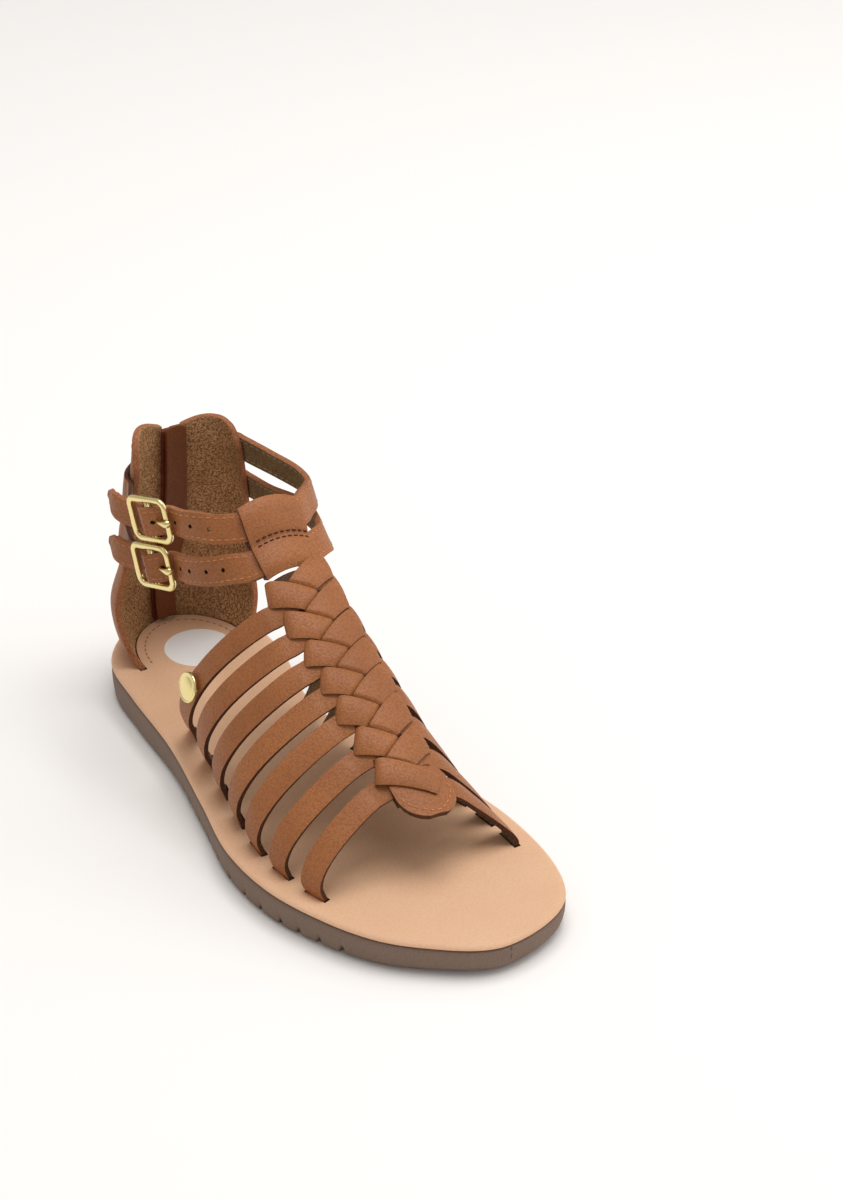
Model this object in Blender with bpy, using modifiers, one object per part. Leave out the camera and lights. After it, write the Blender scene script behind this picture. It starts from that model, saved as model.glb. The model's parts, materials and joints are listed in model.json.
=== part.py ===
"""Gladiator sandal for a child's right foot: braided strap upper, heel counter with a zip,
two buckled ankle straps, footbed and grooved outsole.

Places are worked out in foot coordinates and turned into the model's frame by at():
along runs from the heel end to the toe, out runs to the wearer's right (the lateral side)
and up is the height over the floor. The frame has its toe at -Y, its lateral side at -X
and its origin on the floor under the middle of the heel tread.
"""
import math

import bmesh
import bpy
import numpy as np
from mathutils import Matrix, Vector

# Driving sizes in metres
LENGTH = 0.210
CLEARANCE = 0.0003

# Outsole
HEEL_HEIGHT = 0.0120
TOE_HEIGHT = 0.0090
EDGE_TUCK = 0.0016
EDGE_RISE = 0.0016
ARCH_RISE = 0.0008
TOE_SPRING = 0.0017
GROOVE_WIDTH = 0.0022
GROOVE_DEPTH = 0.0022
HEEL_TREAD = 0.0273

# Footbed
FOOTBED_THICK = 0.0016
FOOTBED_ROUND = 0.0012
FOOTBED_LIP = 0.0004

# Braided upper
CROWN_RADIUS = 0.022
CROWN_OUT = -0.0035
BRAID_HALF = 0.0122
STRAP_WIDTH = 0.0076
STRAP_THICK = 0.0015
STRAP_SINK = 0.0013
STRAP_DIVE = 0.00135
BRAID_STRIP = 0.0088
BRAID_THICK = 0.0022
BRAID_CROWN = 0.0005
BRAID_SINK = 0.0011
BRAID_ROLL = 0.0006
SINK_AHEAD = 0.0014
SINK_RUN = 0.0022
BACKING_HALF = 0.0092
BACKING_MIDDLE = -0.0016
BACKING_THICK = 0.0024
BACKING_DEPTH = 0.0011
TOE_TAB_HALF = 0.0095
TOE_TAB_LENGTH = 0.0155
TOE_TAB_MIDDLE = -0.0022
TOE_TAB_ROUND = 0.42

# Instep tab and ankle straps
TAB_HALF = 0.0100
TAB_MIDDLE = -0.0011
TAB_LEATHER = 0.0013
TAB_CLEAR = 0.0003
ANKLE_WIDTH = 0.0093
ANKLE_THICK = 0.0018
STAY_THICK = 0.0014
WEAVE_FLAT = 0.0160
WEAVE_EASE = 0.0060
TIP_SHARE = 0.35
TIP_GROWTH = 0.12

# Heel counter and zip
COUNTER_OUT = -0.0020
COUNTER_THICK = 0.0022
ZIP_GAP = 0.0072
ZIP_TAPE_HALF = 0.0048
ZIP_TAPE_THICK = 0.0008
LAP_CLEAR = 0.0005
ZIP_TEETH_HALF = 0.0017
ZIP_TEETH_PROUD = 0.0016
GUARD_WIDTH = 0.0090
GUARD_THICK = 0.0012
SLIDER_WIDTH = 0.0064
SLIDER_LENGTH = 0.0095
SLIDER_THICK = 0.0020
EAR_THICK = 0.0011
EAR_ROOT = 0.0024
EAR_HEAD = 0.0011
EYE_RADIUS = 0.0017
PULL_LENGTH = 0.0200
PULL_WIDTH = 0.0060
PULL_THICK = 0.0016
PULL_NECK = 0.0030
PIN_RADIUS = 0.0006

# Buckles and disc
BUCKLE_LENGTH = 0.0180
BUCKLE_HEIGHT = LENGTH * 0.0154 / 0.210
BUCKLE_WIRE = 0.0020
BUCKLE_DEEP = 0.0016
BUCKLE_CORNER = 0.0035
BAR_RADIUS = 0.0007
PRONG_RADIUS = 0.0006
DISC_RADIUS = 0.0048
DISC_THICK = 0.0012
DISC_POST = 0.0010
DISC_POST_RADIUS = 0.0016

# Outline of the sole: station, lateral and medial half width, as shares of LENGTH
SOLE_TABLE = (
    (0.030, 0.0745, 0.0745),
    (0.100, 0.1240, 0.1225),
    (0.200, 0.1375, 0.1272),
    (0.350, 0.1496, 0.0943),
    (0.500, 0.1774, 0.1140),
    (0.620, 0.2003, 0.1597),
    (0.720, 0.1956, 0.1831),
    (0.820, 0.1639, 0.1876),
    (0.900, 0.1195, 0.1763),
    (0.960, 0.0568, 0.1460),
)
TOE_POINT_OUT = -0.0306
# Rise of the tread off the floor: station, share of ARCH_RISE, share of TOE_SPRING
TREAD_TABLE = (
    (0.00, 0.0, 0.00),
    (0.28, 0.0, 0.00),
    (0.40, 1.0, 0.00),
    (0.52, 0.0, 0.00),
    (0.74, 0.0, 0.00),
    (0.88, 0.0, 0.35),
    (1.00, 0.0, 1.00),
)
# Flex grooves across the tread, stations as shares of LENGTH
GROOVES = (0.400, 0.433, 0.478, 0.526, 0.574, 0.621, 0.666, 0.706, 0.748, 0.781, 0.815, 0.850)
# Form over the foot: station, crown height, lateral and medial slot, shares of LENGTH
UPPER_TABLE = (
    (0.34, 0.4700, 0.1050, 0.0690),
    (0.40, 0.3985, 0.1155, 0.0715),
    (0.47, 0.3570, 0.1320, 0.0790),
    (0.55, 0.3115, 0.1490, 0.1030),
    (0.63, 0.2687, 0.1627, 0.1300),
    (0.70, 0.2228, 0.1625, 0.1495),
    (0.78, 0.1790, 0.1460, 0.1580),
    (0.86, 0.1420, 0.1150, 0.1580),
)
# How each side's straps leave their slots: share of leg height up, and share out
LEG = {
    1: {"rise": 0.46, "bulge": 0.27, "ease": 0.10, "lean": 0.40},
    -1: {"rise": 0.20, "bulge": 0.10, "ease": 0.10, "lean": 0.00},
}
# Straps: slot station and station at the braid's edge, shares of LENGTH
LATERAL_STRAPS = (
    (0.342, 0.490), (0.420, 0.534), (0.497, 0.577), (0.570, 0.621),
    (0.640, 0.661), (0.708, 0.709), (0.777, 0.757),
)
MEDIAL_STRAPS = (
    (0.381, 0.472), (0.443, 0.522), (0.512, 0.562), (0.569, 0.604),
    (0.632, 0.646), (0.690, 0.690), (0.751, 0.737), (0.810, 0.780),
)
# Raised strips: middle line ahead of the row's knot and its slope to the side
BRAID_LAY = {
    -1: {"start": 0.0030, "ahead": 0.0019, "slope": 0.55, "shear": -0.0022},
    1: {"start": -0.0065, "ahead": 0.0070, "slope": -0.68, "shear": 0.0022},
}
# Rows of the braid: knot's station, and the strips' outer ends at their rear and front
# corners, as offsets from the crown's middle, all shares of LENGTH
BRAID_TABLE = (
    (0.4652, -0.0640, -0.0625, 0.0500, 0.0610),
    (0.5120, -0.0590, -0.0615, 0.0485, 0.0585),
    (0.5560, -0.0560, -0.0615, 0.0400, 0.0580),
    (0.5990, -0.0560, -0.0610, 0.0395, 0.0570),
    (0.6420, -0.0560, -0.0610, 0.0390, 0.0575),
    (0.6840, -0.0560, -0.0610, 0.0350, 0.0550),
    (0.7300, -0.0560, -0.0610, 0.0325, 0.0495),
    (0.7740, -0.0560, -0.0610, 0.0300, 0.0450),
)
# Instep tab: station, outer rise in metres over the form, as two rolls and a seam
TAB_TABLE = (
    (0.3600, -0.0004),
    (0.3660, 0.0007),
    (0.3797, 0.0011),
    (0.3935, 0.0006),
    (0.4007, -0.0002),
    (0.4080, 0.0005),
    (0.4214, 0.0009),
    (0.4360, 0.0002),
    (0.4450, -0.0012),
)
TUNNELS = (0.3815, 0.4214)
TUNNEL_OFFS = (-0.0100, -0.0035, 0.0030, 0.0080)
TUNNEL_BOW = 0.0010
# Heel counter: height, back line, front line, lateral and medial half width, LENGTH shares
COUNTER_TABLE = (
    (0.0620, 0.0140, 0.1400, 0.0980, 0.0950),
    (0.0850, 0.0110, 0.1290, 0.1080, 0.1060),
    (0.1200, 0.0110, 0.1230, 0.1180, 0.1150),
    (0.1620, 0.0190, 0.1130, 0.1210, 0.1170),
    (0.2380, 0.0500, 0.1230, 0.1080, 0.1100),
    (0.3100, 0.0680, 0.1340, 0.0990, 0.1000),
    (0.3800, 0.0780, 0.1430, 0.0930, 0.0900),
    (0.4400, 0.0830, 0.1440, 0.0850, 0.0820),
    (0.4800, 0.0850, 0.1420, 0.0800, 0.0780),
)
COUNTER_BASE = 0.0640
COUNTER_SEAT = 0.0620
# Top edge of each flap: share of the way from zip to front, height as LENGTH share
FLAP_TABLE = (
    (0.00, 0.4480, 0.4420),
    (0.25, 0.4600, 0.4510),
    (0.50, 0.4640, 0.4540),
    (0.75, 0.4560, 0.4480),
    (0.90, 0.4400, 0.4340),
    (1.00, 0.4150, 0.4060),
)
# Ankle straps beside the foot: forward, out, up and turn from upright to the tab's slope
ANKLE_TABLES = {
    "upper": {
        "height": {1: 0.379, -1: 0.3985},
        "medial": (
            (0.1952, -0.1286, 0.3920, 0.00),
            (0.2429, -0.1429, 0.3860, 0.05),
            (0.2857, -0.1395, 0.3860, 0.20),
            (0.3167, -0.1205, 0.3948, 0.50),
            (0.3400, -0.0985, 0.4010, 0.80),
            (0.3600, -0.0800, 0.4050, 0.95),
        ),
        "lateral": (
            (0.3640, 0.0375, 0.4085, 0.95),
            (0.3480, 0.0570, 0.4060, 0.80),
            (0.3330, 0.0730, 0.4070, 0.50),
            (0.2960, 0.0950, 0.4000, 0.20),
            (0.2460, 0.1110, 0.3900, 0.05),
            (0.2030, 0.1230, 0.3780, 0.00),
        ),
        "tip": ((0.1710, 0.1310, 0.3820, 0.00), (0.1470, 0.1270, 0.3940, 0.00)),
        "stay": ((0.185, 0.1080, 0.3780),),
    },
    "lower": {
        "height": {1: 0.305, -1: 0.3290},
        "medial": (
            (0.1952, -0.1262, 0.3333, 0.00),
            (0.2476, -0.1419, 0.3350, 0.05),
            (0.2952, -0.1390, 0.3390, 0.20),
            (0.3333, -0.1286, 0.3457, 0.45),
            (0.3714, -0.1124, 0.3538, 0.75),
            (0.3950, -0.0895, 0.3630, 0.90),
        ),
        "lateral": (
            (0.4080, 0.0370, 0.3650, 0.95),
            (0.3900, 0.0550, 0.3590, 0.80),
            (0.3640, 0.0720, 0.3480, 0.50),
            (0.3140, 0.0930, 0.3310, 0.20),
            (0.2470, 0.1110, 0.3110, 0.05),
            (0.2030, 0.1230, 0.3040, 0.00),
        ),
        "tip": ((0.1700, 0.1320, 0.3070, 0.00), (0.1460, 0.1300, 0.3150, 0.00)),
        "stay": ((0.182, 0.1090, 0.3040),),
    },
}
BUCKLE_STEP = 4
ANKLE_STEPS = 8
ANKLE_FINE = 12
ANKLE_LEAN = {1: (0.0, -0.12), -1: (-0.22, 0.04)}
ANKLE_ANGLES = (22.0, 40.0, 58.0, 76.0, 90.0)
STAY_ANGLES = (26.0, 44.0, 62.0, 78.0, 90.0)
# Stay's end under the buckle, from the bar: along the strap and off the buckle's plane
STAY_END = ((-0.0085, -0.0051), (-0.0050, -0.0042), (-0.0018, -0.0012))
# Offset of the strap from the buckle's plane, both ways along it in metres from the bar
WEAVE = (
    (0.0, 0.0021), (0.0034, 0.0001), (0.0060, -0.0022), (0.0095, -0.0023), (0.0150, -0.0010),
    (0.0220, 0.0),
)

MATERIALS = {
    "strap_leather": ((0.41, 0.165, 0.067), 0.50, 0.0),
    "counter_leather": ((0.36, 0.15, 0.065), 0.60, 0.0),
    "guard_leather": ((0.16, 0.05, 0.025), 0.45, 0.0),
    "footbed_leather": ((0.66, 0.43, 0.26), 0.65, 0.0),
    "sole_rubber": ((0.20, 0.13, 0.095), 0.75, 0.0),
    "zip_fabric": ((0.22, 0.05, 0.03), 0.80, 0.0),
    "zip_paint": ((0.10, 0.025, 0.02), 0.35, 0.6),
    "pale_gold": ((0.83, 0.66, 0.33), 0.25, 1.0),
}


# Collections, materials and small helpers


def fresh_scene():
    for old in list(bpy.data.objects):
        bpy.data.objects.remove(old, do_unlink=True)


def new_collection(name):
    group = bpy.data.collections.new(name)
    bpy.context.scene.collection.children.link(group)
    return group


def make_materials():
    made = {}
    for name, (colour, roughness, metallic) in MATERIALS.items():
        material = bpy.data.materials.new(name)
        material.use_nodes = True
        shader = material.node_tree.nodes["Principled BSDF"]
        shader.inputs["Base Color"].default_value = (*colour, 1.0)
        shader.inputs["Roughness"].default_value = roughness
        shader.inputs["Metallic"].default_value = metallic
        made[name] = material
    return made


def at(along, out, up):
    """Foot coordinates to the model's frame."""
    return Vector((-out, HEEL_TREAD - along, up))


def foot(point):
    """The model's frame back to foot coordinates."""
    return HEEL_TREAD - point.y, -point.x, point.z


def column(table, index, where):
    """Smooth value of one column of a table whose first column is the station."""
    xs = np.array([row[0] for row in table])
    ys = np.array([row[index] for row in table])
    slopes = np.gradient(ys, xs)
    spot = int(np.clip(np.searchsorted(xs, where) - 1, 0, len(xs) - 2))
    span = xs[spot + 1] - xs[spot]
    t = (where - xs[spot]) / span
    if t < 0.0 or t > 1.0:
        end = 0 if t < 0.0 else -1
        return float(ys[end] + slopes[end] * (where - xs[end]))
    a, b = ys[spot], ys[spot + 1]
    ma, mb = slopes[spot] * span, slopes[spot + 1] * span
    return float((2 * t ** 3 - 3 * t ** 2 + 1) * a + (t ** 3 - 2 * t ** 2 + t) * ma
                 + (3 * t ** 2 - 2 * t ** 3) * b + (t ** 3 - t ** 2) * mb)


def through(points, steps):
    """Catmull-Rom curve through rows of numbers, steps samples to a span."""
    rows = [np.array(p, dtype=float) for p in points]
    rows = [2 * rows[0] - rows[1]] + rows + [2 * rows[-1] - rows[-2]]
    out = []
    for i in range(1, len(rows) - 2):
        a, b, c, d = rows[i - 1:i + 3]
        for k in range(steps):
            t = k / steps
            out.append(0.5 * (2 * b + (c - a) * t + (2 * a - 5 * b + 4 * c - d) * t ** 2
                              + (3 * b - 3 * c + d - a) * t ** 3))
    out.append(rows[-2])
    return out


def mesh_object(name, mesh, material, group):
    thing = bpy.data.objects.new(name, mesh)
    if material:
        mesh.materials.append(material)
    group.objects.link(thing)
    return thing


def hide_tool(thing):
    thing.hide_render = True
    thing.display_type = 'WIRE'
    return thing


def combine(thing, tool, operation):
    joint = thing.modifiers.new(operation.lower() + "_" + tool.name, 'BOOLEAN')
    joint.operation = operation
    joint.solver = 'EXACT'
    joint.object = tool


def loft(name, rings, material, group):
    """Closed body through rings that all have the same number of corners."""
    body = bmesh.new()
    rows = [[body.verts.new(corner) for corner in ring] for ring in rings]
    for low, high in zip(rows, rows[1:]):
        for i in range(len(low)):
            j = (i + 1) % len(low)
            body.faces.new((low[i], low[j], high[j], high[i]))
    body.faces.new(rows[0])
    body.faces.new(list(reversed(rows[-1])))
    body.normal_update()
    bmesh.ops.recalc_face_normals(body, faces=body.faces)
    mesh = bpy.data.meshes.new(name)
    body.to_mesh(mesh)
    body.free()
    return mesh_object(name, mesh, material, group)


def sheet(name, place, rows, cols, thick, rim, material, group):
    """Grid laid on a surface by place(s, t), thickened by Solidify.

    place gives a point and the outward direction for s and t from 0 to 1; rim is
    Solidify's offset: 1 keeps the grid as the inner face, -1 as the outer face.
    """
    body = bmesh.new()
    bmesh.ops.create_grid(body, x_segments=rows, y_segments=cols, size=1.0)
    outward = {}
    for vert in body.verts:
        s = (vert.co.x + 1.0) / 2.0
        t = (vert.co.y + 1.0) / 2.0
        point, normal = place(s, t)
        vert.co = point
        outward[vert.index] = normal
    body.normal_update()
    lean = sum(face.normal.dot(outward[face.verts[0].index]) for face in body.faces)
    if lean < 0:
        bmesh.ops.reverse_faces(body, faces=body.faces)
    mesh = bpy.data.meshes.new(name)
    body.to_mesh(mesh)
    body.free()
    thing = mesh_object(name, mesh, material, group)
    wall = thing.modifiers.new("wall", 'SOLIDIFY')
    wall.thickness = thick
    wall.offset = rim
    wall.use_even_offset = True
    return thing


def path_place(centres, widths, outward):
    """place() for a strip: centres with their across directions and half widths."""
    count = len(centres) - 1

    def place(s, t):
        spot = int(round(s * count))
        point, across, half = centres[spot], widths[spot][0], widths[spot][1]
        return point + across * half * (2.0 * t - 1.0), outward[spot]

    return place


def band(name, centres, crosses, outs, halves, thick, material, group):
    """Flat strip of constant thickness through centres, square to its path."""
    rings = []
    for point, cross, out, half in zip(centres, crosses, outs, halves):
        wide, deep = cross * half, out * thick / 2.0
        rings.append([point - wide - deep, point + wide - deep,
                      point + wide + deep, point - wide + deep])
    return loft(name, rings, material, group)


# Sole


def round_share(station):
    """Station measured so that a round end has a straight width table."""
    return math.acos(1.0 - 2.0 * min(max(station, 0.0), 1.0)) / math.pi


def sole_edges(station):
    """Lateral and medial out values of the sole's outline at a station."""
    rows = [(0.0, 0.0, 0.0)]
    rows += [(round_share(row[0]), row[1], -row[2]) for row in SOLE_TABLE]
    rows.append((1.0, TOE_POINT_OUT, TOE_POINT_OUT))
    share = round_share(station)
    return column(rows, 1, share) * LENGTH, column(rows, 2, share) * LENGTH


def tread_height(station):
    arch = np.interp(station, [row[0] for row in TREAD_TABLE], [row[1] for row in TREAD_TABLE])
    spring = np.interp(station, [row[0] for row in TREAD_TABLE], [row[2] for row in TREAD_TABLE])
    return float(arch) * ARCH_RISE + float(spring) * TOE_SPRING


def sole_top(station):
    return HEEL_HEIGHT + (TOE_HEIGHT - HEEL_HEIGHT) * station


def footbed_top(station):
    return sole_top(station) + CLEARANCE + FOOTBED_THICK


def sole_stations(count, grooves):
    """Stations closer together at the round ends, with three more for each groove."""
    plain = [(1.0 - math.cos(math.pi * k / count)) / 2.0 for k in range(1, count)]
    plain = [0.0012] + plain + [0.9988]
    half = GROOVE_WIDTH / LENGTH / 2.0
    rows = [(s, 0.0) for s in plain if all(abs(s - g) > half * 2.0 for g in grooves)]
    for groove in grooves:
        rows += [(groove - half, 0.0), (groove, GROOVE_DEPTH), (groove + half, 0.0)]
    return sorted(rows)


def sole_ring(station, groove):
    """Six corners of the outsole's section, from the lateral tread edge round the top."""
    out, inn = sole_edges(station)
    half = (out - inn) / 2.0
    tuck = min(EDGE_TUCK, half * 0.4)
    low = tread_height(station) + groove
    top = sole_top(station)
    along = station * LENGTH
    tread = EDGE_TUCK + station * (LENGTH - 2.0 * EDGE_TUCK)
    side = along + (tread - along) * 0.3
    return [
        at(tread, out - tuck, low),
        at(side, out - tuck * 0.3, low + EDGE_RISE),
        at(along, out, top),
        at(along, inn, top),
        at(side, inn + tuck * 0.3, low + EDGE_RISE),
        at(tread, inn + tuck, low),
    ]


def build_outsole(material, group):
    rings = [sole_ring(s, g) for s, g in sole_stations(24, GROOVES)]
    return loft("outsole", rings, material, group)


def footbed_ring(station):
    """Eight corners of the footbed's section, its rim rolled over at the top."""
    out, inn = sole_edges(station)
    half = (out - inn) / 2.0
    low = sole_top(station) + CLEARANCE
    high = low + FOOTBED_THICK
    lip = min(FOOTBED_LIP, half * 0.3)
    curl = min(FOOTBED_ROUND, half * 0.4)
    along = station * LENGTH
    inner = FOOTBED_ROUND + station * (LENGTH - 2.0 * FOOTBED_ROUND)
    under = FOOTBED_LIP + station * (LENGTH - 2.0 * FOOTBED_LIP)
    return [
        at(under, out - lip, low),
        at(along, out, low + FOOTBED_THICK * 0.35),
        at(along + (inner - along) * 0.3, out - curl * 0.3, high - FOOTBED_THICK * 0.2),
        at(inner, out - curl, high),
        at(inner, inn + curl, high),
        at(along + (inner - along) * 0.3, inn + curl * 0.3, high - FOOTBED_THICK * 0.2),
        at(along, inn, low + FOOTBED_THICK * 0.35),
        at(under, inn + lip, low),
    ]


def build_footbed(material, group, tools):
    rings = [footbed_ring(s) for s, g in sole_stations(28, ())]
    bed = loft("footbed", rings, material, group)
    for side, straps in ((1, LATERAL_STRAPS), (-1, MEDIAL_STRAPS)):
        for i, (slot, top) in enumerate(straps):
            combine(bed, slot_cutter(side, i, slot, tools), 'DIFFERENCE')
    for side in (1, -1):
        combine(bed, counter_cutter(side, tools), 'DIFFERENCE')
    return bed


# Form of the foot under the upper


def upper_point(along, across):
    """Point on the upper's outer form.

    across runs from -2 at the medial slot, over -1 and 1 at the braid's edges, to 2 at
    the lateral slot; the crown between the edges is round and the legs are curves.
    """
    station = along / LENGTH
    crown = column(UPPER_TABLE, 1, station) * LENGTH
    side = 1 if across >= 0 else -1
    reach = abs(across)
    if reach <= 1.0:
        off = side * reach * BRAID_HALF
        drop = CROWN_RADIUS - math.sqrt(CROWN_RADIUS ** 2 - off ** 2)
        return at(along, CROWN_OUT + off, crown - drop)
    leg = LEG[side]
    slot = side * column(UPPER_TABLE, 2 if side > 0 else 3, station) * LENGTH
    low = footbed_top(station)
    edge_slope = math.asin(BRAID_HALF / CROWN_RADIUS)
    edge_out = CROWN_OUT + side * BRAID_HALF
    edge_up = crown - CROWN_RADIUS * (1.0 - math.cos(edge_slope))
    tall = edge_up - low
    ease = leg["ease"] * math.hypot(slot - edge_out, tall)
    corners = (
        (slot, low),
        (slot + side * leg["bulge"] * tall, low + leg["rise"] * tall),
        (edge_out + side * ease * math.cos(edge_slope), edge_up - ease * math.sin(edge_slope)),
        (edge_out, edge_up),
    )
    t = 2.0 - reach
    shares = ((1 - t) ** 3, 3 * (1 - t) ** 2 * t, 3 * (1 - t) * t * t, t ** 3)
    out = sum(k * c[0] for k, c in zip(shares, corners))
    up = sum(k * c[1] for k, c in zip(shares, corners))
    return at(along, out, up)


def upper_normal(along, across):
    step = 0.001
    ahead = upper_point(along + step, across) - upper_point(along - step, across)
    over = upper_point(along, across + 0.02) - upper_point(along, across - 0.02)
    return over.cross(ahead).normalized()


def on_upper(along, across, rise):
    return upper_point(along, across) + upper_normal(along, across) * rise


def slot_heading(side, slot):
    """Level direction of the row of slots at one slot, towards the toe."""
    step = 0.02
    index = 2 if side > 0 else 3
    ends = [side * column(UPPER_TABLE, index, slot + d) * LENGTH for d in (-step, step)]
    return (at(step * LENGTH, ends[1], 0.0) - at(-step * LENGTH, ends[0], 0.0)).normalized()


def leg_run(side, slot, top, count):
    """Along and across values of a strap from its slot to the braid's edge."""
    middle = (slot + top) / 2.0 * LENGTH
    marks = [2.0 - k / count for k in range(count + 1)]
    spots = [upper_point(middle, side * m) for m in marks]
    runs = [0.0]
    for a, b in zip(spots, spots[1:]):
        runs.append(runs[-1] + (b - a).length)
    lean = LEG[side]["lean"]
    rows = []
    for mark, run in zip(marks, runs):
        share = run / runs[-1]
        along = slot + (top - slot) * (share + lean * share * (1.0 - share))
        rows.append((along * LENGTH, side * mark))
    return rows


def strap_lines(side, slot, top, count):
    """Centres, across directions and outward directions of one strap of the upper."""
    rows = leg_run(side, slot, top, count)
    crown_runs = (0.75, 0.5, 0.25)
    for k in crown_runs:
        rows.append((top * LENGTH + (1.0 - k) * BRAID_HALF * 0.15, side * k))
    centres, normals = [], []
    for k, (along, across) in enumerate(rows):
        share = max(0.0, (k - count + 1.5) / 2.0)
        rise = -STRAP_DIVE * min(1.0, share)
        centres.append(on_upper(along, across, rise))
        normals.append(upper_normal(along, across))
    foot = centres[0].copy()
    flat = slot_heading(side, slot)
    outward = at(0.0, side, 0.0) - at(0.0, 0.0, 0.0)
    outward = (outward - flat * outward.dot(flat)).normalized()
    sunk = foot - Vector((0.0, 0.0, STRAP_SINK))
    centres = [sunk] + centres
    normals = [outward, outward] + normals[1:]
    crosses = []
    for k in range(len(centres)):
        a = centres[max(k - 1, 0)]
        b = centres[min(k + 1, len(centres) - 1)]
        free = (b - a).cross(normals[k]).normalized()
        if free.dot(flat) < 0:
            free.negate()
        blend = min(1.0, max(0.0, (k - 1) / 3.0))
        crosses.append((flat * (1.0 - blend) + free * blend).normalized())
    return centres, crosses, normals


def build_strap(name, side, slot, top, group):
    centres, crosses, normals = strap_lines(side, slot, top, 9)
    widths = [(cross, STRAP_WIDTH / 2.0) for cross in crosses]
    place = path_place(centres, widths, normals)
    return sheet(name, place, len(centres) - 1, 1, STRAP_THICK, -1.0, None, group)


def slot_cutter(side, index, slot, group):
    """Upright block that leaves the clearance round a strap's end."""
    centres, crosses, normals = strap_lines(side, slot, slot, 9)
    flat, outward = crosses[0], normals[0]
    middle = centres[1] - outward * STRAP_THICK / 2.0
    body = bmesh.new()
    bmesh.ops.create_cube(body, size=1.0)
    wide = STRAP_WIDTH + 2.0 * CLEARANCE
    deep = STRAP_THICK + 2.0 * CLEARANCE
    tall = FOOTBED_THICK * 4.0
    for vert in body.verts:
        x, y, z = vert.co
        vert.co = middle + flat * x * wide + outward * y * deep + Vector((0.0, 0.0, z * tall))
    body.normal_update()
    bmesh.ops.recalc_face_normals(body, faces=body.faces)
    name = "slot_%s_%d" % ("lateral" if side > 0 else "medial", index + 1)
    mesh = bpy.data.meshes.new(name)
    body.to_mesh(mesh)
    body.free()
    return hide_tool(mesh_object(name, mesh, None, group))


# Braid


def crown_place(along, off, rise):
    """Point and normal on the crown from its station in metres and offset to the side."""
    across = off / BRAID_HALF
    return on_upper(along, across, rise), upper_normal(along, across)


def strip_middle(row, side, off):
    """Station in metres of a raised strip's middle line at an offset from the crown."""
    lay = BRAID_LAY[side]
    return BRAID_TABLE[row][0] * LENGTH + lay["ahead"] + lay["slope"] * off


def strip_sink(row, side, along, off):
    """0 where a strip is on top, 1 where it lies under the strip that crosses it."""
    over = row if side < 0 else row + 1
    edge = strip_middle(over, -side, off) - BRAID_STRIP / 2.0
    return min(1.0, max(0.0, (along - edge + SINK_AHEAD) / SINK_RUN))


def braid_strip(row, side):
    """place() for one raised strip: side -1 is the medial column, 1 the lateral one."""
    lay = BRAID_LAY[side]
    half = BRAID_STRIP / 2.0
    first = 1 if side < 0 else 3
    ends = [share * LENGTH for share in BRAID_TABLE[row][first:first + 2]]

    def place(s, t):
        across = 2.0 * t - 1.0
        end = ends[0] + (ends[1] - ends[0]) * t
        off = (lay["start"] + lay["shear"] * across) * (1.0 - s) + end * s
        along = strip_middle(row, side, off) + half * across
        rise = BRAID_CROWN * (1.0 - across * across)
        rise -= BRAID_SINK * strip_sink(row, side, along, off)
        rise -= BRAID_ROLL * max(0.0, (s - 0.8) / 0.2)
        return crown_place(along, off, rise)

    return place


def build_braid(group):
    strips = []
    for row in range(len(BRAID_TABLE) - 1):
        for side, word in ((-1, "medial"), (1, "lateral")):
            name = "strip_%s_%d" % (word, row + 1)
            strips.append(sheet(name, braid_strip(row, side), 5, 2,
                                BRAID_THICK, -1.0, None, group))
    return strips


def backing_place(s, t):
    start = (BRAID_TABLE[0][0] - 0.016) * LENGTH
    end = (BRAID_TABLE[-1][0] + 0.014) * LENGTH
    along = start + (end - start) * s
    return crown_place(along, BACKING_HALF * (2.0 * t - 1.0) + BACKING_MIDDLE, -BACKING_DEPTH)


def toe_tab_place(s, t):
    """Rounded tongue that ends the braid."""
    start = (BRAID_TABLE[-1][0] - 0.024) * LENGTH
    along = start + TOE_TAB_LENGTH * s
    beyond = max(0.0, (s - TOE_TAB_ROUND) / (1.0 - TOE_TAB_ROUND))
    half = TOE_TAB_HALF * math.sqrt(1.0 - (0.95 * beyond) ** 2)
    rise = 0.0003 - 0.0012 * max(0.0, 1.0 - s / 0.2)
    return crown_place(along, TOE_TAB_MIDDLE + half * (2.0 * t - 1.0), rise)


def build_upper(material, group, tools):
    """Backing, straps, braid and toe tab as one wall."""
    wall = sheet("upper", backing_place, 14, 4, BACKING_THICK, -1.0, material, group)
    pieces = []
    for side, straps, word in ((1, LATERAL_STRAPS, "lateral"), (-1, MEDIAL_STRAPS, "medial")):
        for i, (slot, top) in enumerate(straps):
            pieces.append(build_strap("strap_%s_%d" % (word, i + 1), side, slot, top, tools))
    pieces += build_braid(tools)
    pieces.append(sheet("toe_tab", toe_tab_place, 6, 4, BRAID_THICK, -1.0, None, tools))
    for piece in pieces:
        hide_tool(piece)
    weave = wall.modifiers.new("weave", 'BOOLEAN')
    weave.operation = 'UNION'
    weave.solver = 'EXACT'
    weave.operand_type = 'COLLECTION'
    weave.collection = tools
    return wall


# Heel counter


def counter_point(angle, up, side):
    """Point on the middle of the counter's wall; angle 0 is the back, 90 the front edge."""
    share = up / LENGTH
    back = column(COUNTER_TABLE, 1, share) * LENGTH
    front = column(COUNTER_TABLE, 2, share) * LENGTH
    half = column(COUNTER_TABLE, 3 if side > 0 else 4, share) * LENGTH
    turn = math.radians(angle)
    along = back + (front - back) * (1.0 - math.cos(turn))
    return at(along, COUNTER_OUT + side * half * math.sin(turn), up)


def counter_rise(angle, up, side):
    """Lean of the wall over one unit of height."""
    step = 0.001
    return (counter_point(angle, up + step, side) - counter_point(angle, up - step, side)) / (2 * step)


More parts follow.
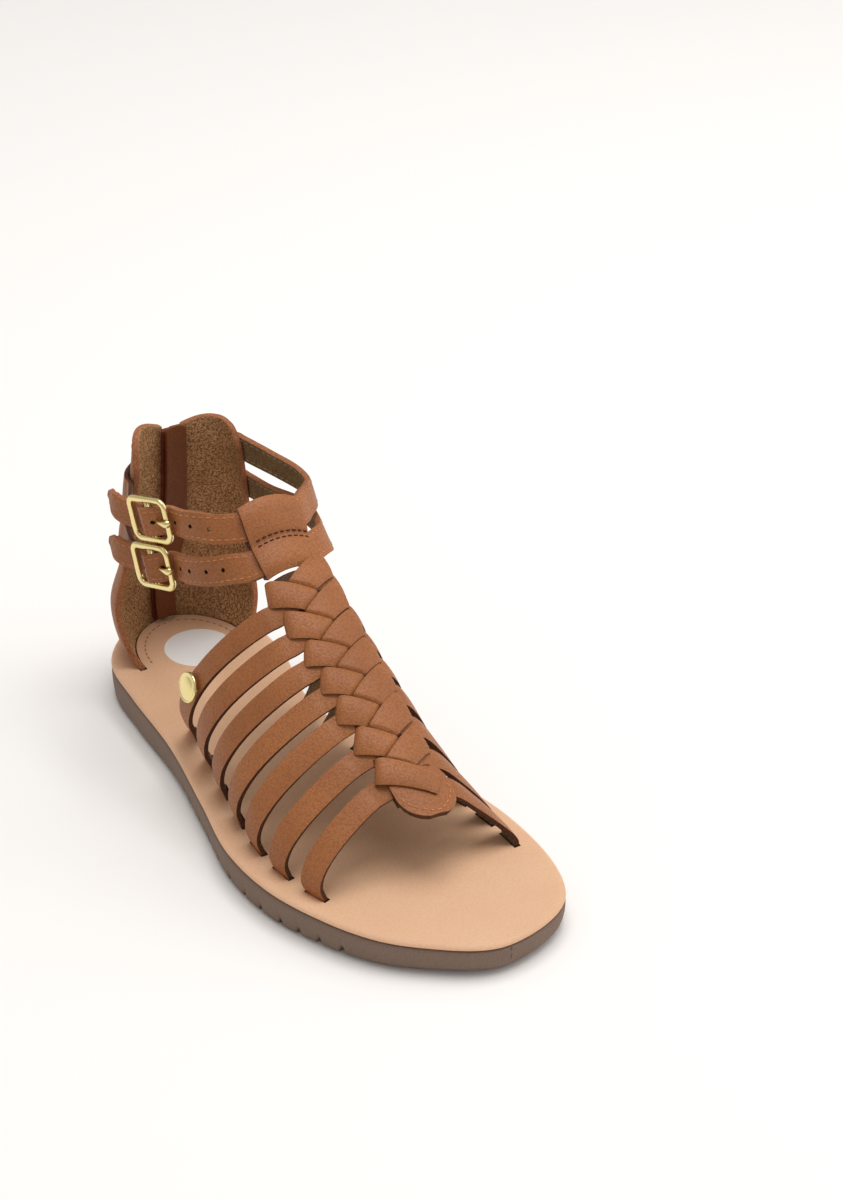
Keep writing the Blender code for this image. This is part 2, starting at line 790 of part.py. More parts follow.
def counter_normal(angle, up, side):
    around = counter_point(angle + 1.0, up, side) - counter_point(angle - 1.0, up, side)
    rise = counter_point(angle, up + 0.001, side) - counter_point(angle, up - 0.001, side)
    return (around.cross(rise) * side).normalized()


def on_counter(angle, up, side, lift):
    normal = counter_normal(angle, up, side)
    return counter_point(angle, up, side) + normal * lift, normal


def zip_angle(up, off):
    """Angle at which the wall lies a given distance from the centre back."""
    half = column(COUNTER_TABLE, 3, up / LENGTH) * LENGTH
    return math.degrees(math.asin(off / half))


def flap_top(share, side):
    return column(FLAP_TABLE, 1 if side > 0 else 2, share) * LENGTH


def quarter_place(side, base, lift):
    def place(s, t):
        crest = flap_top(s, side)
        up = base + (crest - base) * t
        first = zip_angle(up, ZIP_GAP / 2.0)
        angle = first + (90.0 - first) * s
        return on_counter(angle, up, side, lift)

    return place


def build_quarter(name, side, material, group):
    base = COUNTER_SEAT * LENGTH
    place = quarter_place(side, base, COUNTER_THICK / 2.0)
    return sheet(name, place, 10, 10, COUNTER_THICK, -1.0, material, group)


def counter_cutter(side, group):
    """Thickened lower edge of a quarter that opens its groove in the footbed."""
    low = (COUNTER_SEAT - 0.03) * LENGTH
    high = (COUNTER_SEAT + 0.05) * LENGTH

    def place(s, t):
        up = low + (high - low) * t
        level = max(up, COUNTER_SEAT * LENGTH)
        first = zip_angle(level, ZIP_GAP / 2.0 - 0.0006)
        angle = first + (91.5 - first) * s
        point, normal = on_counter(angle, level, side, COUNTER_THICK / 2.0 + CLEARANCE)
        return Vector((point.x, point.y, up)), normal

    name = "groove_lateral" if side > 0 else "groove_medial"
    wide = COUNTER_THICK + 2.0 * CLEARANCE
    return hide_tool(sheet(name, place, 10, 3, wide, -1.0, None, group))


# Zip


def zip_frame(up):
    """Middle of the back at a height, with its outward and sideways directions."""
    point, normal = on_counter(0.0, up, 1, 0.0)
    return point, normal, Vector((1.0, 0.0, 0.0))


def build_zip_tape(material, group):
    low = footbed_top(0.03) + CLEARANCE
    high = flap_top(0.0, 1) - 0.001
    inner = -(COUNTER_THICK / 2.0 + LAP_CLEAR + ZIP_TAPE_THICK)
    outer = inner + ZIP_TAPE_THICK
    count = 12
    rings = []
    for k in range(count + 1):
        up = low + (high - low) * k / count
        ring = []
        for off, lift in ((-ZIP_TAPE_HALF, inner), (0.0, inner), (ZIP_TAPE_HALF, inner),
                          (ZIP_TAPE_HALF, outer), (ZIP_TEETH_HALF, outer),
                          (ZIP_TEETH_HALF, outer + ZIP_TEETH_PROUD),
                          (-ZIP_TEETH_HALF, outer + ZIP_TEETH_PROUD),
                          (-ZIP_TEETH_HALF, outer), (-ZIP_TAPE_HALF, outer)):
            side = 1 if off >= 0 else -1
            angle = zip_angle(up, abs(off))
            point, normal = on_counter(angle, up, side, lift)
            ring.append(point)
        rings.append(ring)
    return loft("zip_tape", rings, material, group)


def build_zip_guard(material, group):
    low = footbed_top(0.03) + 0.001
    depth = COUNTER_THICK / 2.0 + ZIP_TAPE_THICK + 2.0 * LAP_CLEAR + 0.0002

    def place(s, t):
        up = low + (flap_top(0.0, -1) + 0.002 - low) * t
        angle = zip_angle(up, GUARD_WIDTH * (s - 0.5))
        return on_counter(angle, up, -1, -depth)

    return sheet("zip_guard", place, 3, 10, GUARD_THICK, -1.0, material, group)


def turned_block(name, size, bevel, frame, material, group):
    """Bevelled block placed by a 4 by 4 matrix."""
    body = bmesh.new()
    bmesh.ops.create_cube(body, size=1.0)
    bmesh.ops.scale(body, vec=size, verts=body.verts)
    if bevel:
        bmesh.ops.bevel(body, geom=body.edges, offset=bevel, segments=1, affect='EDGES')
    bmesh.ops.transform(body, matrix=frame, verts=body.verts)
    mesh = bpy.data.meshes.new(name)
    body.to_mesh(mesh)
    body.free()
    return mesh_object(name, mesh, material, group)


def rod(name, radius, length, frame, sides, material, group):
    """Cylinder along the frame's X direction."""
    body = bmesh.new()
    bmesh.ops.create_cone(body, cap_ends=True, segments=sides, radius1=radius,
                          radius2=radius, depth=length)
    bmesh.ops.rotate(body, matrix=Matrix.Rotation(math.pi / 2.0, 3, 'Y'), verts=body.verts)
    bmesh.ops.transform(body, matrix=frame, verts=body.verts)
    mesh = bpy.data.meshes.new(name)
    body.to_mesh(mesh)
    body.free()
    return mesh_object(name, mesh, material, group)


def axes_frame(origin, x, y, z):
    """Matrix whose columns are three directions and an origin."""
    frame = Matrix.Identity(4)
    for k, axis in enumerate((x, y, z)):
        for row in range(3):
            frame[row][k] = axis[row]
    for row in range(3):
        frame[row][3] = origin[row]
    return frame


def slider_frame():
    """Frame on the zip's teeth: X sideways, Y outwards, Z up along the zip."""
    up = flap_top(0.0, 1) - 0.0075
    point, normal, side = zip_frame(up)
    rise = side.cross(normal).normalized()
    if rise.z < 0:
        rise.negate()
    outer = -(COUNTER_THICK / 2.0 + LAP_CLEAR) + ZIP_TEETH_PROUD
    return point + normal * (outer + CLEARANCE), side, normal, rise


def pull_axis():
    point, side, normal, rise = slider_frame()
    return point + normal * (SLIDER_THICK + EYE_RADIUS + CLEARANCE) + rise * 0.001


def build_zip_slider(material, group, tools):
    point, side, normal, rise = slider_frame()
    middle = point + normal * SLIDER_THICK / 2.0
    frame = axes_frame(middle, side, normal, rise)
    size = Vector((SLIDER_WIDTH, SLIDER_THICK, SLIDER_LENGTH))
    slider = turned_block("zip_slider", size, 0.0006, frame, material, group)
    axis = pull_axis()
    reach = PULL_NECK / 2.0 + CLEARANCE + EAR_THICK / 2.0
    for word, turn in (("left", -1), ("right", 1)):
        place = axis + side * turn * reach + normal * (EAR_HEAD - EAR_ROOT) / 2.0
        ear = Vector((EAR_THICK, EAR_HEAD + EAR_ROOT, EAR_HEAD + EAR_ROOT))
        tool = turned_block("ear_" + word, ear, 0.0004, axes_frame(place, side, normal, rise),
                            None, tools)
        combine(slider, hide_tool(tool), 'UNION')
    pin = rod("ear_pin", PIN_RADIUS, 2.0 * reach, axes_frame(axis, side, normal, rise), 10,
              None, tools)
    combine(slider, hide_tool(pin), 'UNION')
    return slider


def build_zip_pull(material, group, tools):
    """Flat pull whose eye turns on the slider's pin; its origin is on that pin."""
    point, side, normal, rise = slider_frame()
    axis = pull_axis()
    outline = (
        (PULL_NECK / 2.0, 0.0004), (PULL_NECK / 2.0, -0.0030),
        (PULL_WIDTH / 2.0, -0.0050), (PULL_WIDTH / 2.0, -PULL_LENGTH + 0.0012),
        (PULL_WIDTH / 2.0 - 0.0012, -PULL_LENGTH),
    )
    outline = outline + tuple((-x, z) for x, z in reversed(outline))
    body = bmesh.new()
    face = body.faces.new([body.verts.new((x, -PULL_THICK / 2.0, z)) for x, z in outline])
    grown = bmesh.ops.extrude_face_region(body, geom=[face])
    moved = [item for item in grown["geom"] if isinstance(item, bmesh.types.BMVert)]
    bmesh.ops.translate(body, vec=(0.0, PULL_THICK, 0.0), verts=moved)
    body.normal_update()
    bmesh.ops.recalc_face_normals(body, faces=body.faces)
    turn = axes_frame(Vector((0.0, 0.0, 0.0)), side, normal, rise)
    bmesh.ops.transform(body, matrix=turn, verts=body.verts)
    mesh = bpy.data.meshes.new("zip_pull")
    body.to_mesh(mesh)
    body.free()
    pull = mesh_object("zip_pull", mesh, material, group)
    pull.location = axis
    barrel = rod("pull_barrel", EYE_RADIUS, PULL_NECK, axes_frame(axis, side, normal, rise), 14,
                 None, tools)
    combine(pull, hide_tool(barrel), 'UNION')
    hole = rod("pull_eye", PIN_RADIUS + CLEARANCE, PULL_NECK * 2.0,
               axes_frame(axis, side, normal, rise), 10, None, tools)
    combine(pull, hide_tool(hole), 'DIFFERENCE')
    return pull


# Instep tab


def tab_rise(along):
    return column(TAB_TABLE, 1, along / LENGTH)


def tab_place(grow):
    """place() for the tab's outer face, or for a copy of it grown all round."""
    def place(s, t):
        first, last = TAB_TABLE[0][0] * LENGTH - grow, TAB_TABLE[-1][0] * LENGTH + grow
        along = first + (last - first) * s
        off = TAB_MIDDLE + (TAB_HALF + grow) * (2.0 * t - 1.0)
        return crown_place(along, off, tab_rise(along) + grow)

    return place


def tab_depth():
    return TAB_LEATHER * 2.0 + ANKLE_THICK + 2.0 * TAB_CLEAR


def tunnel_spot(which, off):
    """Strap's middle inside a tunnel of the instep tab."""
    along = TUNNELS[which] * LENGTH - TUNNEL_BOW * (off / TAB_HALF) ** 2
    depth = TAB_LEATHER + TAB_CLEAR + ANKLE_THICK / 2.0
    point, normal = crown_place(along, off, tab_rise(along) - depth)
    share = off / BRAID_HALF
    slope = upper_point(along + 0.001, share) - upper_point(along - 0.001, share)
    return point, normal, slope.normalized()


def tunnel_tool(name, reach, tools):
    """Ankle strap with clearance all round, from reach points before to past the tab."""
    points, crosses, outs, bar = ankle_curve(name, ANKLE_STEPS)
    last = bar - (BUCKLE_STEP + 1) * ANKLE_STEPS
    inside = range(last - 3 * ANKLE_STEPS - reach, last + reach + 1, 2)
    halves = [ANKLE_WIDTH / 2.0 + TAB_CLEAR] * len(inside)
    wide = ANKLE_THICK + 2.0 * TAB_CLEAR
    return hide_tool(band("tunnel_%s_%d" % (name, reach), [points[k] for k in inside],
                          [crosses[k] for k in inside], [outs[k] for k in inside],
                          halves, wide, None, tools))


def build_instep_tab(material, group, tools):
    tab = sheet("instep_tab", tab_place(0.0), 12, 4, tab_depth(), -1.0, material, group)
    for name in ("upper", "lower"):
        combine(tab, tunnel_tool(name, 7, tools), 'DIFFERENCE')
    return tab


def clear_upper(wall, tools):
    """Keep the braid's first strips off the instep tab and the lower ankle strap."""
    deep = tab_depth() + 2.0 * CLEARANCE
    room = sheet("tab_room", tab_place(CLEARANCE), 12, 4, deep, -1.0, None, tools)
    combine(wall, hide_tool(room), 'DIFFERENCE')
    combine(wall, tunnel_tool("lower", 16, tools), 'DIFFERENCE')


# Ankle straps and buckles


def free_row(row, side):
    """Table row of a free stretch in metres, with the lean of its width on that side."""
    along, out, up, turn = row
    return along * LENGTH, out * LENGTH, up * LENGTH, turn, *ANKLE_LEAN[side]


def ankle_rows(name):
    """Whole ankle strap from its medial end: place, turn and the lean of its width."""
    table = ANKLE_TABLES[name]
    which = 0 if name == "upper" else 1
    lift = COUNTER_THICK / 2.0 + LAP_CLEAR + ANKLE_THICK / 2.0
    rows = []
    for angle in ANKLE_ANGLES:
        up = table["height"][-1] * LENGTH
        point, normal = on_counter(angle, up, -1, lift)
        rise = counter_rise(angle, up, -1)
        rows.append((*foot(point), 0.0, rise.x, rise.y))
    rows += [free_row(row, -1) for row in table["medial"]]
    for off in TUNNEL_OFFS:
        point, normal, slope = tunnel_spot(which, off)
        rows.append((*foot(point), 1.0, 0.0, 0.0))
    bar = len(rows) + BUCKLE_STEP
    rows += [free_row(row, 1) for row in table["lateral"] + table["tip"]]
    return rows, bar


def ankle_curve(name, steps):
    """Points, across and outward directions of a strap's middle, and the bar's index."""
    rows, bar = ankle_rows(name)
    rows = through(rows, steps)
    which = 0 if name == "upper" else 1
    slope = tunnel_spot(which, 0.0)[2]
    points = [at(r[0], r[1], r[2]) for r in rows]
    middle = at(0.24 * LENGTH, CROWN_OUT, 0.0)
    crosses, outs = [], []
    for k, row in enumerate(rows):
        ahead = points[min(k + 1, len(points) - 1)] - points[max(k - 1, 0)]
        ahead.normalize()
        upright = Vector((row[4], row[5], 1.0))
        wide = (upright * (1.0 - row[3]) - slope * row[3]).normalized()
        wide = (wide - ahead * wide.dot(ahead)).normalized()
        out = ahead.cross(wide).normalized()
        side = points[k] - middle
        side.z = max(side.z, 0.0) * row[3]
        if out.dot(side) < 0:
            out.negate()
        crosses.append(wide)
        outs.append(out)
    return points, crosses, outs, bar * steps


def buckle_place(name):
    """Middle of a buckle with its along, across and outward directions."""
    points, crosses, outs, bar = ankle_curve(name, ANKLE_STEPS)
    ahead = (points[bar - 2] - points[bar + 2]).normalized()
    across = crosses[bar]
    across = (across - ahead * across.dot(ahead)).normalized()
    out = outs[bar]
    out = (out - ahead * out.dot(ahead) - across * out.dot(across)).normalized()
    return points[bar], ahead, across, out


def build_ankle_strap(name, material, group, tools):
    points, crosses, outs, bar = ankle_curve(name, ANKLE_STEPS)
    middle, ahead, across, out = buckle_place(name)
    picked = [k for k in range(len(points)) if k % 2 == 0 or abs(k - bar) < ANKLE_FINE]
    centres, halves = [], []
    for k in picked:
        centre = points[k].copy()
        away = centre - middle
        run = away.dot(ahead)
        if abs(k - bar) < 3 * ANKLE_STEPS and abs(run) < WEAVE[-1][0]:
            flat = min(1.0, max(0.0, (WEAVE_FLAT - abs(run)) / WEAVE_EASE))
            centre += out * (column(WEAVE, 1, abs(run)) - away.dot(out) * flat)
        centres.append(centre)
        left = len(points) - 1 - k
        halves.append(ANKLE_WIDTH / 2.0 * min(1.0, TIP_SHARE + left * TIP_GROWTH))
    strap = band("ankle_strap_" + name, centres, [crosses[k] for k in picked],
                 [outs[k] for k in picked], halves, ANKLE_THICK, material, group)
    start, tip = prong_line(name)
    spare = (tip - start).normalized() * 0.002
    hole = prong_rod("prong_hole_" + name, start - spare, tip + spare,
                     PRONG_RADIUS + CLEARANCE * 1.5, None, tools)
    combine(strap, hide_tool(hole), 'DIFFERENCE')
    return strap


def build_buckle_stay(name, material, group):
    """Short strap from the lateral quarter to the buckle's bar."""
    table = ANKLE_TABLES[name]
    middle, ahead, across, out = buckle_place(name)
    lift = COUNTER_THICK / 2.0 + LAP_CLEAR + STAY_THICK / 2.0
    rows = []
    for angle in STAY_ANGLES:
        up = table["height"][1] * LENGTH
        point, normal = on_counter(angle, up, 1, lift)
        rows.append((*point, *counter_rise(angle, up, 1)))
    for a, o, u in table["stay"]:
        rows.append((*at(a * LENGTH, o * LENGTH, u * LENGTH), *across))
    for run, drop in STAY_END:
        rows.append((*(middle + ahead * run + out * drop), *across))
    rows = through(rows, 3)
    points = [Vector(r[:3]) for r in rows]
    widths, outs = [], []
    for k, point in enumerate(points):
        run = (points[min(k + 1, len(points) - 1)] - points[max(k - 1, 0)]).normalized()
        lean = Vector(rows[k][3:])
        wide = (lean - run * lean.dot(run)).normalized()
        widths.append(wide)
        face = run.cross(wide).normalized()
        if face.dot(at(0.0, 1.0, 0.0) - at(0.0, 0.0, 0.0)) < 0 and k > 3:
            face.negate()
        outs.append(face)
    halves = [ANKLE_WIDTH / 2.0 - CLEARANCE] * len(points)
    return band("buckle_stay_" + name, points, widths, outs, halves, STAY_THICK, material, group)


def build_buckle_frame(name, material, group, tools):
    """Rounded frame with its centre bar."""
    middle, ahead, across, out = buckle_place(name)
    frame = axes_frame(middle, ahead, across, out)
    body = bmesh.new()
    rings = []
    for grow in (0.0, -BUCKLE_WIRE):
        x, y = BUCKLE_LENGTH / 2.0 + grow, BUCKLE_HEIGHT / 2.0 + grow
        corner = max(BUCKLE_CORNER + grow, 0.0008)
        ring = []
        for cx, cy, first in ((1, 1, 0), (-1, 1, 90), (-1, -1, 180), (1, -1, 270)):
            for k in range(4):
                turn = math.radians(first + 30.0 * k)
                ring.append((cx * (x - corner) + corner * math.cos(turn),
                             cy * (y - corner) + corner * math.sin(turn)))
        rings.append(ring)
    sections = []
    outer, inner = rings
    for k in range(len(outer)):
        a, b = Vector((*outer[k], 0.0)), Vector((*inner[k], 0.0))
        low, high = Vector((0, 0, -BUCKLE_DEEP / 2.0)), Vector((0, 0, BUCKLE_DEEP / 2.0))
        m = a.lerp(b, 0.5)
        sections.append([a, a.lerp(b, 0.2) + high, m + high * 1.15, a.lerp(b, 0.8) + high,
                         b, a.lerp(b, 0.8) + low, a.lerp(b, 0.2) + low])
    rows = [[body.verts.new(frame @ corner) for corner in section] for section in sections]
    for k in range(len(rows)):
        low, high = rows[k], rows[(k + 1) % len(rows)]
        for i in range(len(low)):
            j = (i + 1) % len(low)
            body.faces.new((low[i], low[j], high[j], high[i]))
    body.normal_update()
    bmesh.ops.recalc_face_normals(body, faces=body.faces)
    mesh = bpy.data.meshes.new("buckle_frame_" + name)
    body.to_mesh(mesh)
    body.free()
    buckle = mesh_object("buckle_frame_" + name, mesh, material, group)
    upright = axes_frame(middle, across, out, ahead)
    bar = rod("bar_" + name, BAR_RADIUS, BUCKLE_HEIGHT - BUCKLE_WIRE, upright, 8, None, tools)
    combine(buckle, hide_tool(bar), 'UNION')
    return buckle


def prong_line(name):
    """Ends of the prong: by the bar and on the frame's front side."""
    middle, ahead, across, out = buckle_place(name)
    start = middle + ahead * (BAR_RADIUS + CLEARANCE + PRONG_RADIUS)
    seat = BUCKLE_DEEP / 2.0 * 1.15 + CLEARANCE + PRONG_RADIUS
    tip = middle + ahead * (BUCKLE_LENGTH / 2.0 - 0.0002) + out * (seat + 0.0002)
    return start, tip


def prong_rod(name, start, tip, radius, material, group):
    run = tip - start
    ahead = run.normalized()
    side = ahead.cross(Vector((0.0, 0.0, 1.0))).normalized()
    frame = axes_frame((start + tip) / 2.0, ahead, side, ahead.cross(side).normalized())
    return rod(name, radius, run.length, frame, 8, material, group)


def build_buckle_prong(name, material, group):
    start, tip = prong_line(name)
    return prong_rod("buckle_prong_" + name, start, tip, PRONG_RADIUS, material, group)


def build_strap_disc(material, group):
    """Domed disc on a short post, on the outer face of the rearmost lateral strap."""
    slot, top = LATERAL_STRAPS[0]
    centres, crosses, normals = strap_lines(1, slot, top, 9)
    spot, normal = centres[4].lerp(centres[5], 0.1), (normals[4] + normals[5]).normalized()
    profile = ((0.0, 0.0), (DISC_POST_RADIUS, 0.0), (DISC_POST_RADIUS, DISC_POST),
               (DISC_RADIUS, DISC_POST), (DISC_RADIUS, DISC_POST + DISC_THICK * 0.6),
               (DISC_RADIUS * 0.85, DISC_POST + DISC_THICK), (0.0, DISC_POST + DISC_THICK * 1.3))
    body = bmesh.new()
    verts = [body.verts.new((r, 0.0, h)) for r, h in profile]
    edges = [body.edges.new(pair) for pair in zip(verts, verts[1:])]
    bmesh.ops.spin(body, geom=verts + edges, cent=(0, 0, 0), axis=(0, 0, 1),
                   angle=math.tau, steps=20, use_merge=True)
    bmesh.ops.remove_doubles(body, verts=body.verts, dist=0.00002)
    body.normal_update()
    bmesh.ops.recalc_face_normals(body, faces=body.faces)
    cross = crosses[4]
    side = (cross - normal * cross.dot(normal)).normalized()
    frame = axes_frame(spot + normal * CLEARANCE, side, normal.cross(side), normal)
    bmesh.ops.transform(body, matrix=frame, verts=body.verts)
    mesh = bpy.data.meshes.new("strap_disc")
    body.to_mesh(mesh)
    body.free()
    return mesh_object("strap_disc", mesh, material, group)


def main():
    fresh_scene()
    sandal = new_collection("gladiator_sandal")
    tools = new_collection("cutters")
    paint = make_materials()
    build_outsole(paint["sole_rubber"], sandal)
    build_footbed(paint["footbed_leather"], sandal, tools)
    weave = new_collection("weave")
    wall = build_upper(paint["strap_leather"], sandal, weave)
    clear_upper(wall, tools)
    build_instep_tab(paint["strap_leather"], sandal, tools)
    build_quarter("quarter_lateral", 1, paint["counter_leather"], sandal)
    build_quarter("quarter_medial", -1, paint["counter_leather"], sandal)
    build_zip_tape(paint["zip_fabric"], sandal)
    build_zip_guard(paint["guard_leather"], sandal)
    build_zip_slider(paint["zip_paint"], sandal, tools)
    build_zip_pull(paint["zip_paint"], sandal, tools)
    for name in ("upper", "lower"):
        build_ankle_strap(name, paint["strap_leather"], sandal, tools)
        build_buckle_stay(name, paint["strap_leather"], sandal)
        build_buckle_frame(name, paint["pale_gold"], sandal, tools)
        build_buckle_prong(name, paint["pale_gold"], sandal)
    build_strap_disc(paint["pale_gold"], sandal)


main()
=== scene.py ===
import json
import math

import bmesh
import bpy
import numpy as np
from mathutils import Matrix, Vector

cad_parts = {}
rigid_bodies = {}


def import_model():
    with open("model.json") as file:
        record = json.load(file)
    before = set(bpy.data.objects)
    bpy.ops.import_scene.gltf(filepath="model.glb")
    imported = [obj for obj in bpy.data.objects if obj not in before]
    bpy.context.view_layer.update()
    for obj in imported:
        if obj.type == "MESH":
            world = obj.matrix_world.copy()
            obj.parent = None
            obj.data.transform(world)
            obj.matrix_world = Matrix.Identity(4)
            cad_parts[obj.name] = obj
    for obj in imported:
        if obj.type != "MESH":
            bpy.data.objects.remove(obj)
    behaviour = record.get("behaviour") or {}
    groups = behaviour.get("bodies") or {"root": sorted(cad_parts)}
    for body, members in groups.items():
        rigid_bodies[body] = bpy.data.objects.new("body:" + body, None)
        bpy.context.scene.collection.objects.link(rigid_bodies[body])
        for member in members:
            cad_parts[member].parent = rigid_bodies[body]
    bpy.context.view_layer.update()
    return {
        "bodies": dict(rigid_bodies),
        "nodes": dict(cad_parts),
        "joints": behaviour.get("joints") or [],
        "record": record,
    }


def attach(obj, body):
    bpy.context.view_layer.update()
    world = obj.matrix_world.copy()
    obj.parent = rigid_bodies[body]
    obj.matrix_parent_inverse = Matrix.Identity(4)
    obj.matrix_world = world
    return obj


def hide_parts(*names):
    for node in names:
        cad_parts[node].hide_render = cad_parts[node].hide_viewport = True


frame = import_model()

# Driving sizes in metres
LENGTH = 0.210
CLEARANCE = 0.0003

# Outsole
HEEL_HEIGHT = 0.0120
TOE_HEIGHT = 0.0090
EDGE_TUCK = 0.0016
EDGE_RISE = 0.0016
ARCH_RISE = 0.0008
TOE_SPRING = 0.0017
GROOVE_WIDTH = 0.0022
GROOVE_DEPTH = 0.0022
HEEL_TREAD = 0.0273

# Footbed
FOOTBED_THICK = 0.0016
FOOTBED_CURL = 0.0026
SLOT_ROOM = 0.0008
PRINT_RADIUS = 0.0115
PRINT_ALONG = 0.0270
PRINT_OUT = -0.0033
PRINT_THICK = 0.0002

# Braided upper
CROWN_RADIUS = 0.022
CROWN_OUT = -0.0035
BRAID_HALF = 0.0122
STRAP_WIDTH = 0.0076
STRAP_THICK = 0.0015
STRAP_SINK = 0.0013
STRAP_DIVE = 0.00135
LEG_CROWN = 0.00035
BRAID_STRIP = 0.0088
BRAID_THICK = 0.0022
BRAID_CROWN = 0.0005
BRAID_SINK = 0.0011
SINK_AHEAD = 0.0014
SINK_RUN = 0.0022
EXTRA_CROWN = 0.0002
EXTRA_SINK = 0.0004
INNER_DROOP = 0.0005
PILLOW_POWER = 2.3
LAST_STRIP_RISE = 0.0010
FOLD_START = 0.86
FOLD_DEEP = 0.0022
FOLD_NARROW = 0.10
FOLD_TURN = 0.985
BACKING_HALF = 0.0092
BACKING_MIDDLE = -0.0016
BACKING_THICK = 0.0024
BACKING_DEPTH = 0.0011
TOE_TAB_HALF = 0.0095
TOE_TAB_LENGTH = 0.0155
TOE_TAB_MIDDLE = -0.0022
TOE_TAB_ROUND = 0.42

# Instep tab and ankle straps
TAB_HALF = 0.0100
TAB_MIDDLE = -0.0011
TAB_LEATHER = 0.0013
TAB_CLEAR = 0.0003
ANKLE_WIDTH = 0.0093
ANKLE_THICK = 0.0018
STAY_THICK = 0.0014
WEAVE_FLAT = 0.0160
WEAVE_EASE = 0.0060
TIP_SHARE = 0.35
TIP_GROWTH = 0.12

# Heel counter and zip
COUNTER_OUT = -0.0020
COUNTER_THICK = 0.0022
ZIP_GAP = 0.0072
ZIP_TAPE_HALF = 0.0048
ZIP_TAPE_THICK = 0.0008
LAP_CLEAR = 0.0005
GUARD_WIDTH = 0.0090
GUARD_THICK = 0.0012

STITCH_DEEP = 0.0001
STITCH_ROUND = 0.28
EDGE_TO_SEAM = 0.0013
SEAT_SEAM_IN = 0.0046
ZIP_TO_SEAM = 0.0018
SEAM_STATION = 0.4000
TOP_TO_SEAM = 0.0022
# Stitches: pitch, gap at the first and last end, length and width
SEAT_SEAM = (0.0026, 0.001, 0.001, 0.0017, 0.0005)
TOE_SEAM = (0.0023, 0.0006, 0.0006, 0.0016, 0.00045)
TAB_SEAM = (0.0021, 0.0004, 0.0002, 0.0015, 0.00055)
ANKLE_SEAM = (0.0024, 0.002, 0.003, 0.0016, 0.00045)
UNDER_SEAM = (0.0024, 0.002, 0.003, 0.0016, 0.0004)
FLAP_SEAM = (0.0025, 0.001, 0.001, 0.0017, 0.00045)

# Buckles and disc
BUCKLE_LENGTH = 0.0180
BUCKLE_HEIGHT = 0.0154
BUCKLE_WIRE = 0.0020
BUCKLE_DEEP = 0.0016
BUCKLE_CORNER = 0.0035
BAR_RADIUS = 0.0007
SLEEVE_WALL = 0.0004
SLEEVE_WIDTH = 0.0020
DISC_RADIUS = 0.0048
DISC_POST = 0.0010
DISC_POST_RADIUS = 0.0016

# Outline of the sole: station, lateral and medial half width, as shares of LENGTH
SOLE_TABLE = (
    (0.030, 0.0745, 0.0745),
    (0.100, 0.1240, 0.1225),
    (0.200, 0.1375, 0.1272),
    (0.350, 0.1496, 0.0943),
    (0.500, 0.1774, 0.1140),
    (0.620, 0.2003, 0.1597),
    (0.720, 0.1956, 0.1831),
    (0.820, 0.1639, 0.1876),
    (0.900, 0.1195, 0.1763),
    (0.960, 0.0568, 0.1460),
)
TOE_POINT_OUT = -0.0306
# Rise of the tread off the floor: station, share of ARCH_RISE, share of TOE_SPRING
TREAD_TABLE = (
    (0.00, 0.0, 0.00),
    (0.28, 0.0, 0.00),
    (0.40, 1.0, 0.00),
    (0.52, 0.0, 0.00),
    (0.74, 0.0, 0.00),
    (0.88, 0.0, 0.35),
    (1.00, 0.0, 1.00),
)
# Flex grooves across the tread, stations as shares of LENGTH
GROOVES = (0.400, 0.433, 0.478, 0.526, 0.574, 0.621, 0.666, 0.706, 0.748, 0.781, 0.815, 0.850)
# Form over the foot: station, crown height, lateral and medial slot, shares of LENGTH
UPPER_TABLE = (
    (0.34, 0.4700, 0.1050, 0.0690),
    (0.40, 0.3985, 0.1155, 0.0715),
    (0.47, 0.3570, 0.1320, 0.0790),
    (0.55, 0.3115, 0.1490, 0.1030),
    (0.63, 0.2687, 0.1627, 0.1300),
    (0.70, 0.2228, 0.1625, 0.1495),
    (0.78, 0.1790, 0.1460, 0.1580),
    (0.86, 0.1420, 0.1150, 0.1580),
)
# How each side's straps leave their slots: share of leg height up, and share out
LEG = {
    1: {"rise": 0.46, "bulge": 0.27, "ease": 0.10, "lean": 0.40},
    -1: {"rise": 0.20, "bulge": 0.10, "ease": 0.10, "lean": 0.00},
}
# Straps: slot station and station at the braid's edge, shares of LENGTH
LATERAL_STRAPS = (
    (0.342, 0.490), (0.420, 0.534), (0.497, 0.577), (0.570, 0.621),
    (0.640, 0.661), (0.708, 0.709), (0.777, 0.757),
)
MEDIAL_STRAPS = (
    (0.381, 0.472), (0.443, 0.522), (0.512, 0.562), (0.569, 0.604),
    (0.632, 0.646), (0.690, 0.690), (0.751, 0.737), (0.810, 0.780),
)
STRAPS = [(1, *row) for row in LATERAL_STRAPS] + [(-1, *row) for row in MEDIAL_STRAPS]
# Raised strips: middle line ahead of the row's knot and its slope to the side
BRAID_LAY = {
    -1: {"start": 0.0030, "ahead": 0.0019, "slope": 0.55, "shear": -0.0022},
    1: {"start": -0.0065, "ahead": 0.0070, "slope": -0.68, "shear": 0.0022},
}
# Rows of the braid: knot's station, and the strips' outer ends at their rear and front
# corners, as offsets from the crown's middle, all shares of LENGTH
BRAID_TABLE = (
    (0.4652, -0.0640, -0.0625, 0.0500, 0.0610),
    (0.5120, -0.0590, -0.0615, 0.0485, 0.0585),
    (0.5560, -0.0560, -0.0615, 0.0400, 0.0580),
    (0.5990, -0.0560, -0.0610, 0.0395, 0.0570),
    (0.6420, -0.0560, -0.0610, 0.0390, 0.0575),
    (0.6840, -0.0560, -0.0610, 0.0350, 0.0550),
    (0.7300, -0.0560, -0.0610, 0.0325, 0.0495),
    (0.7740, -0.0560, -0.0610, 0.0300, 0.0450),
)
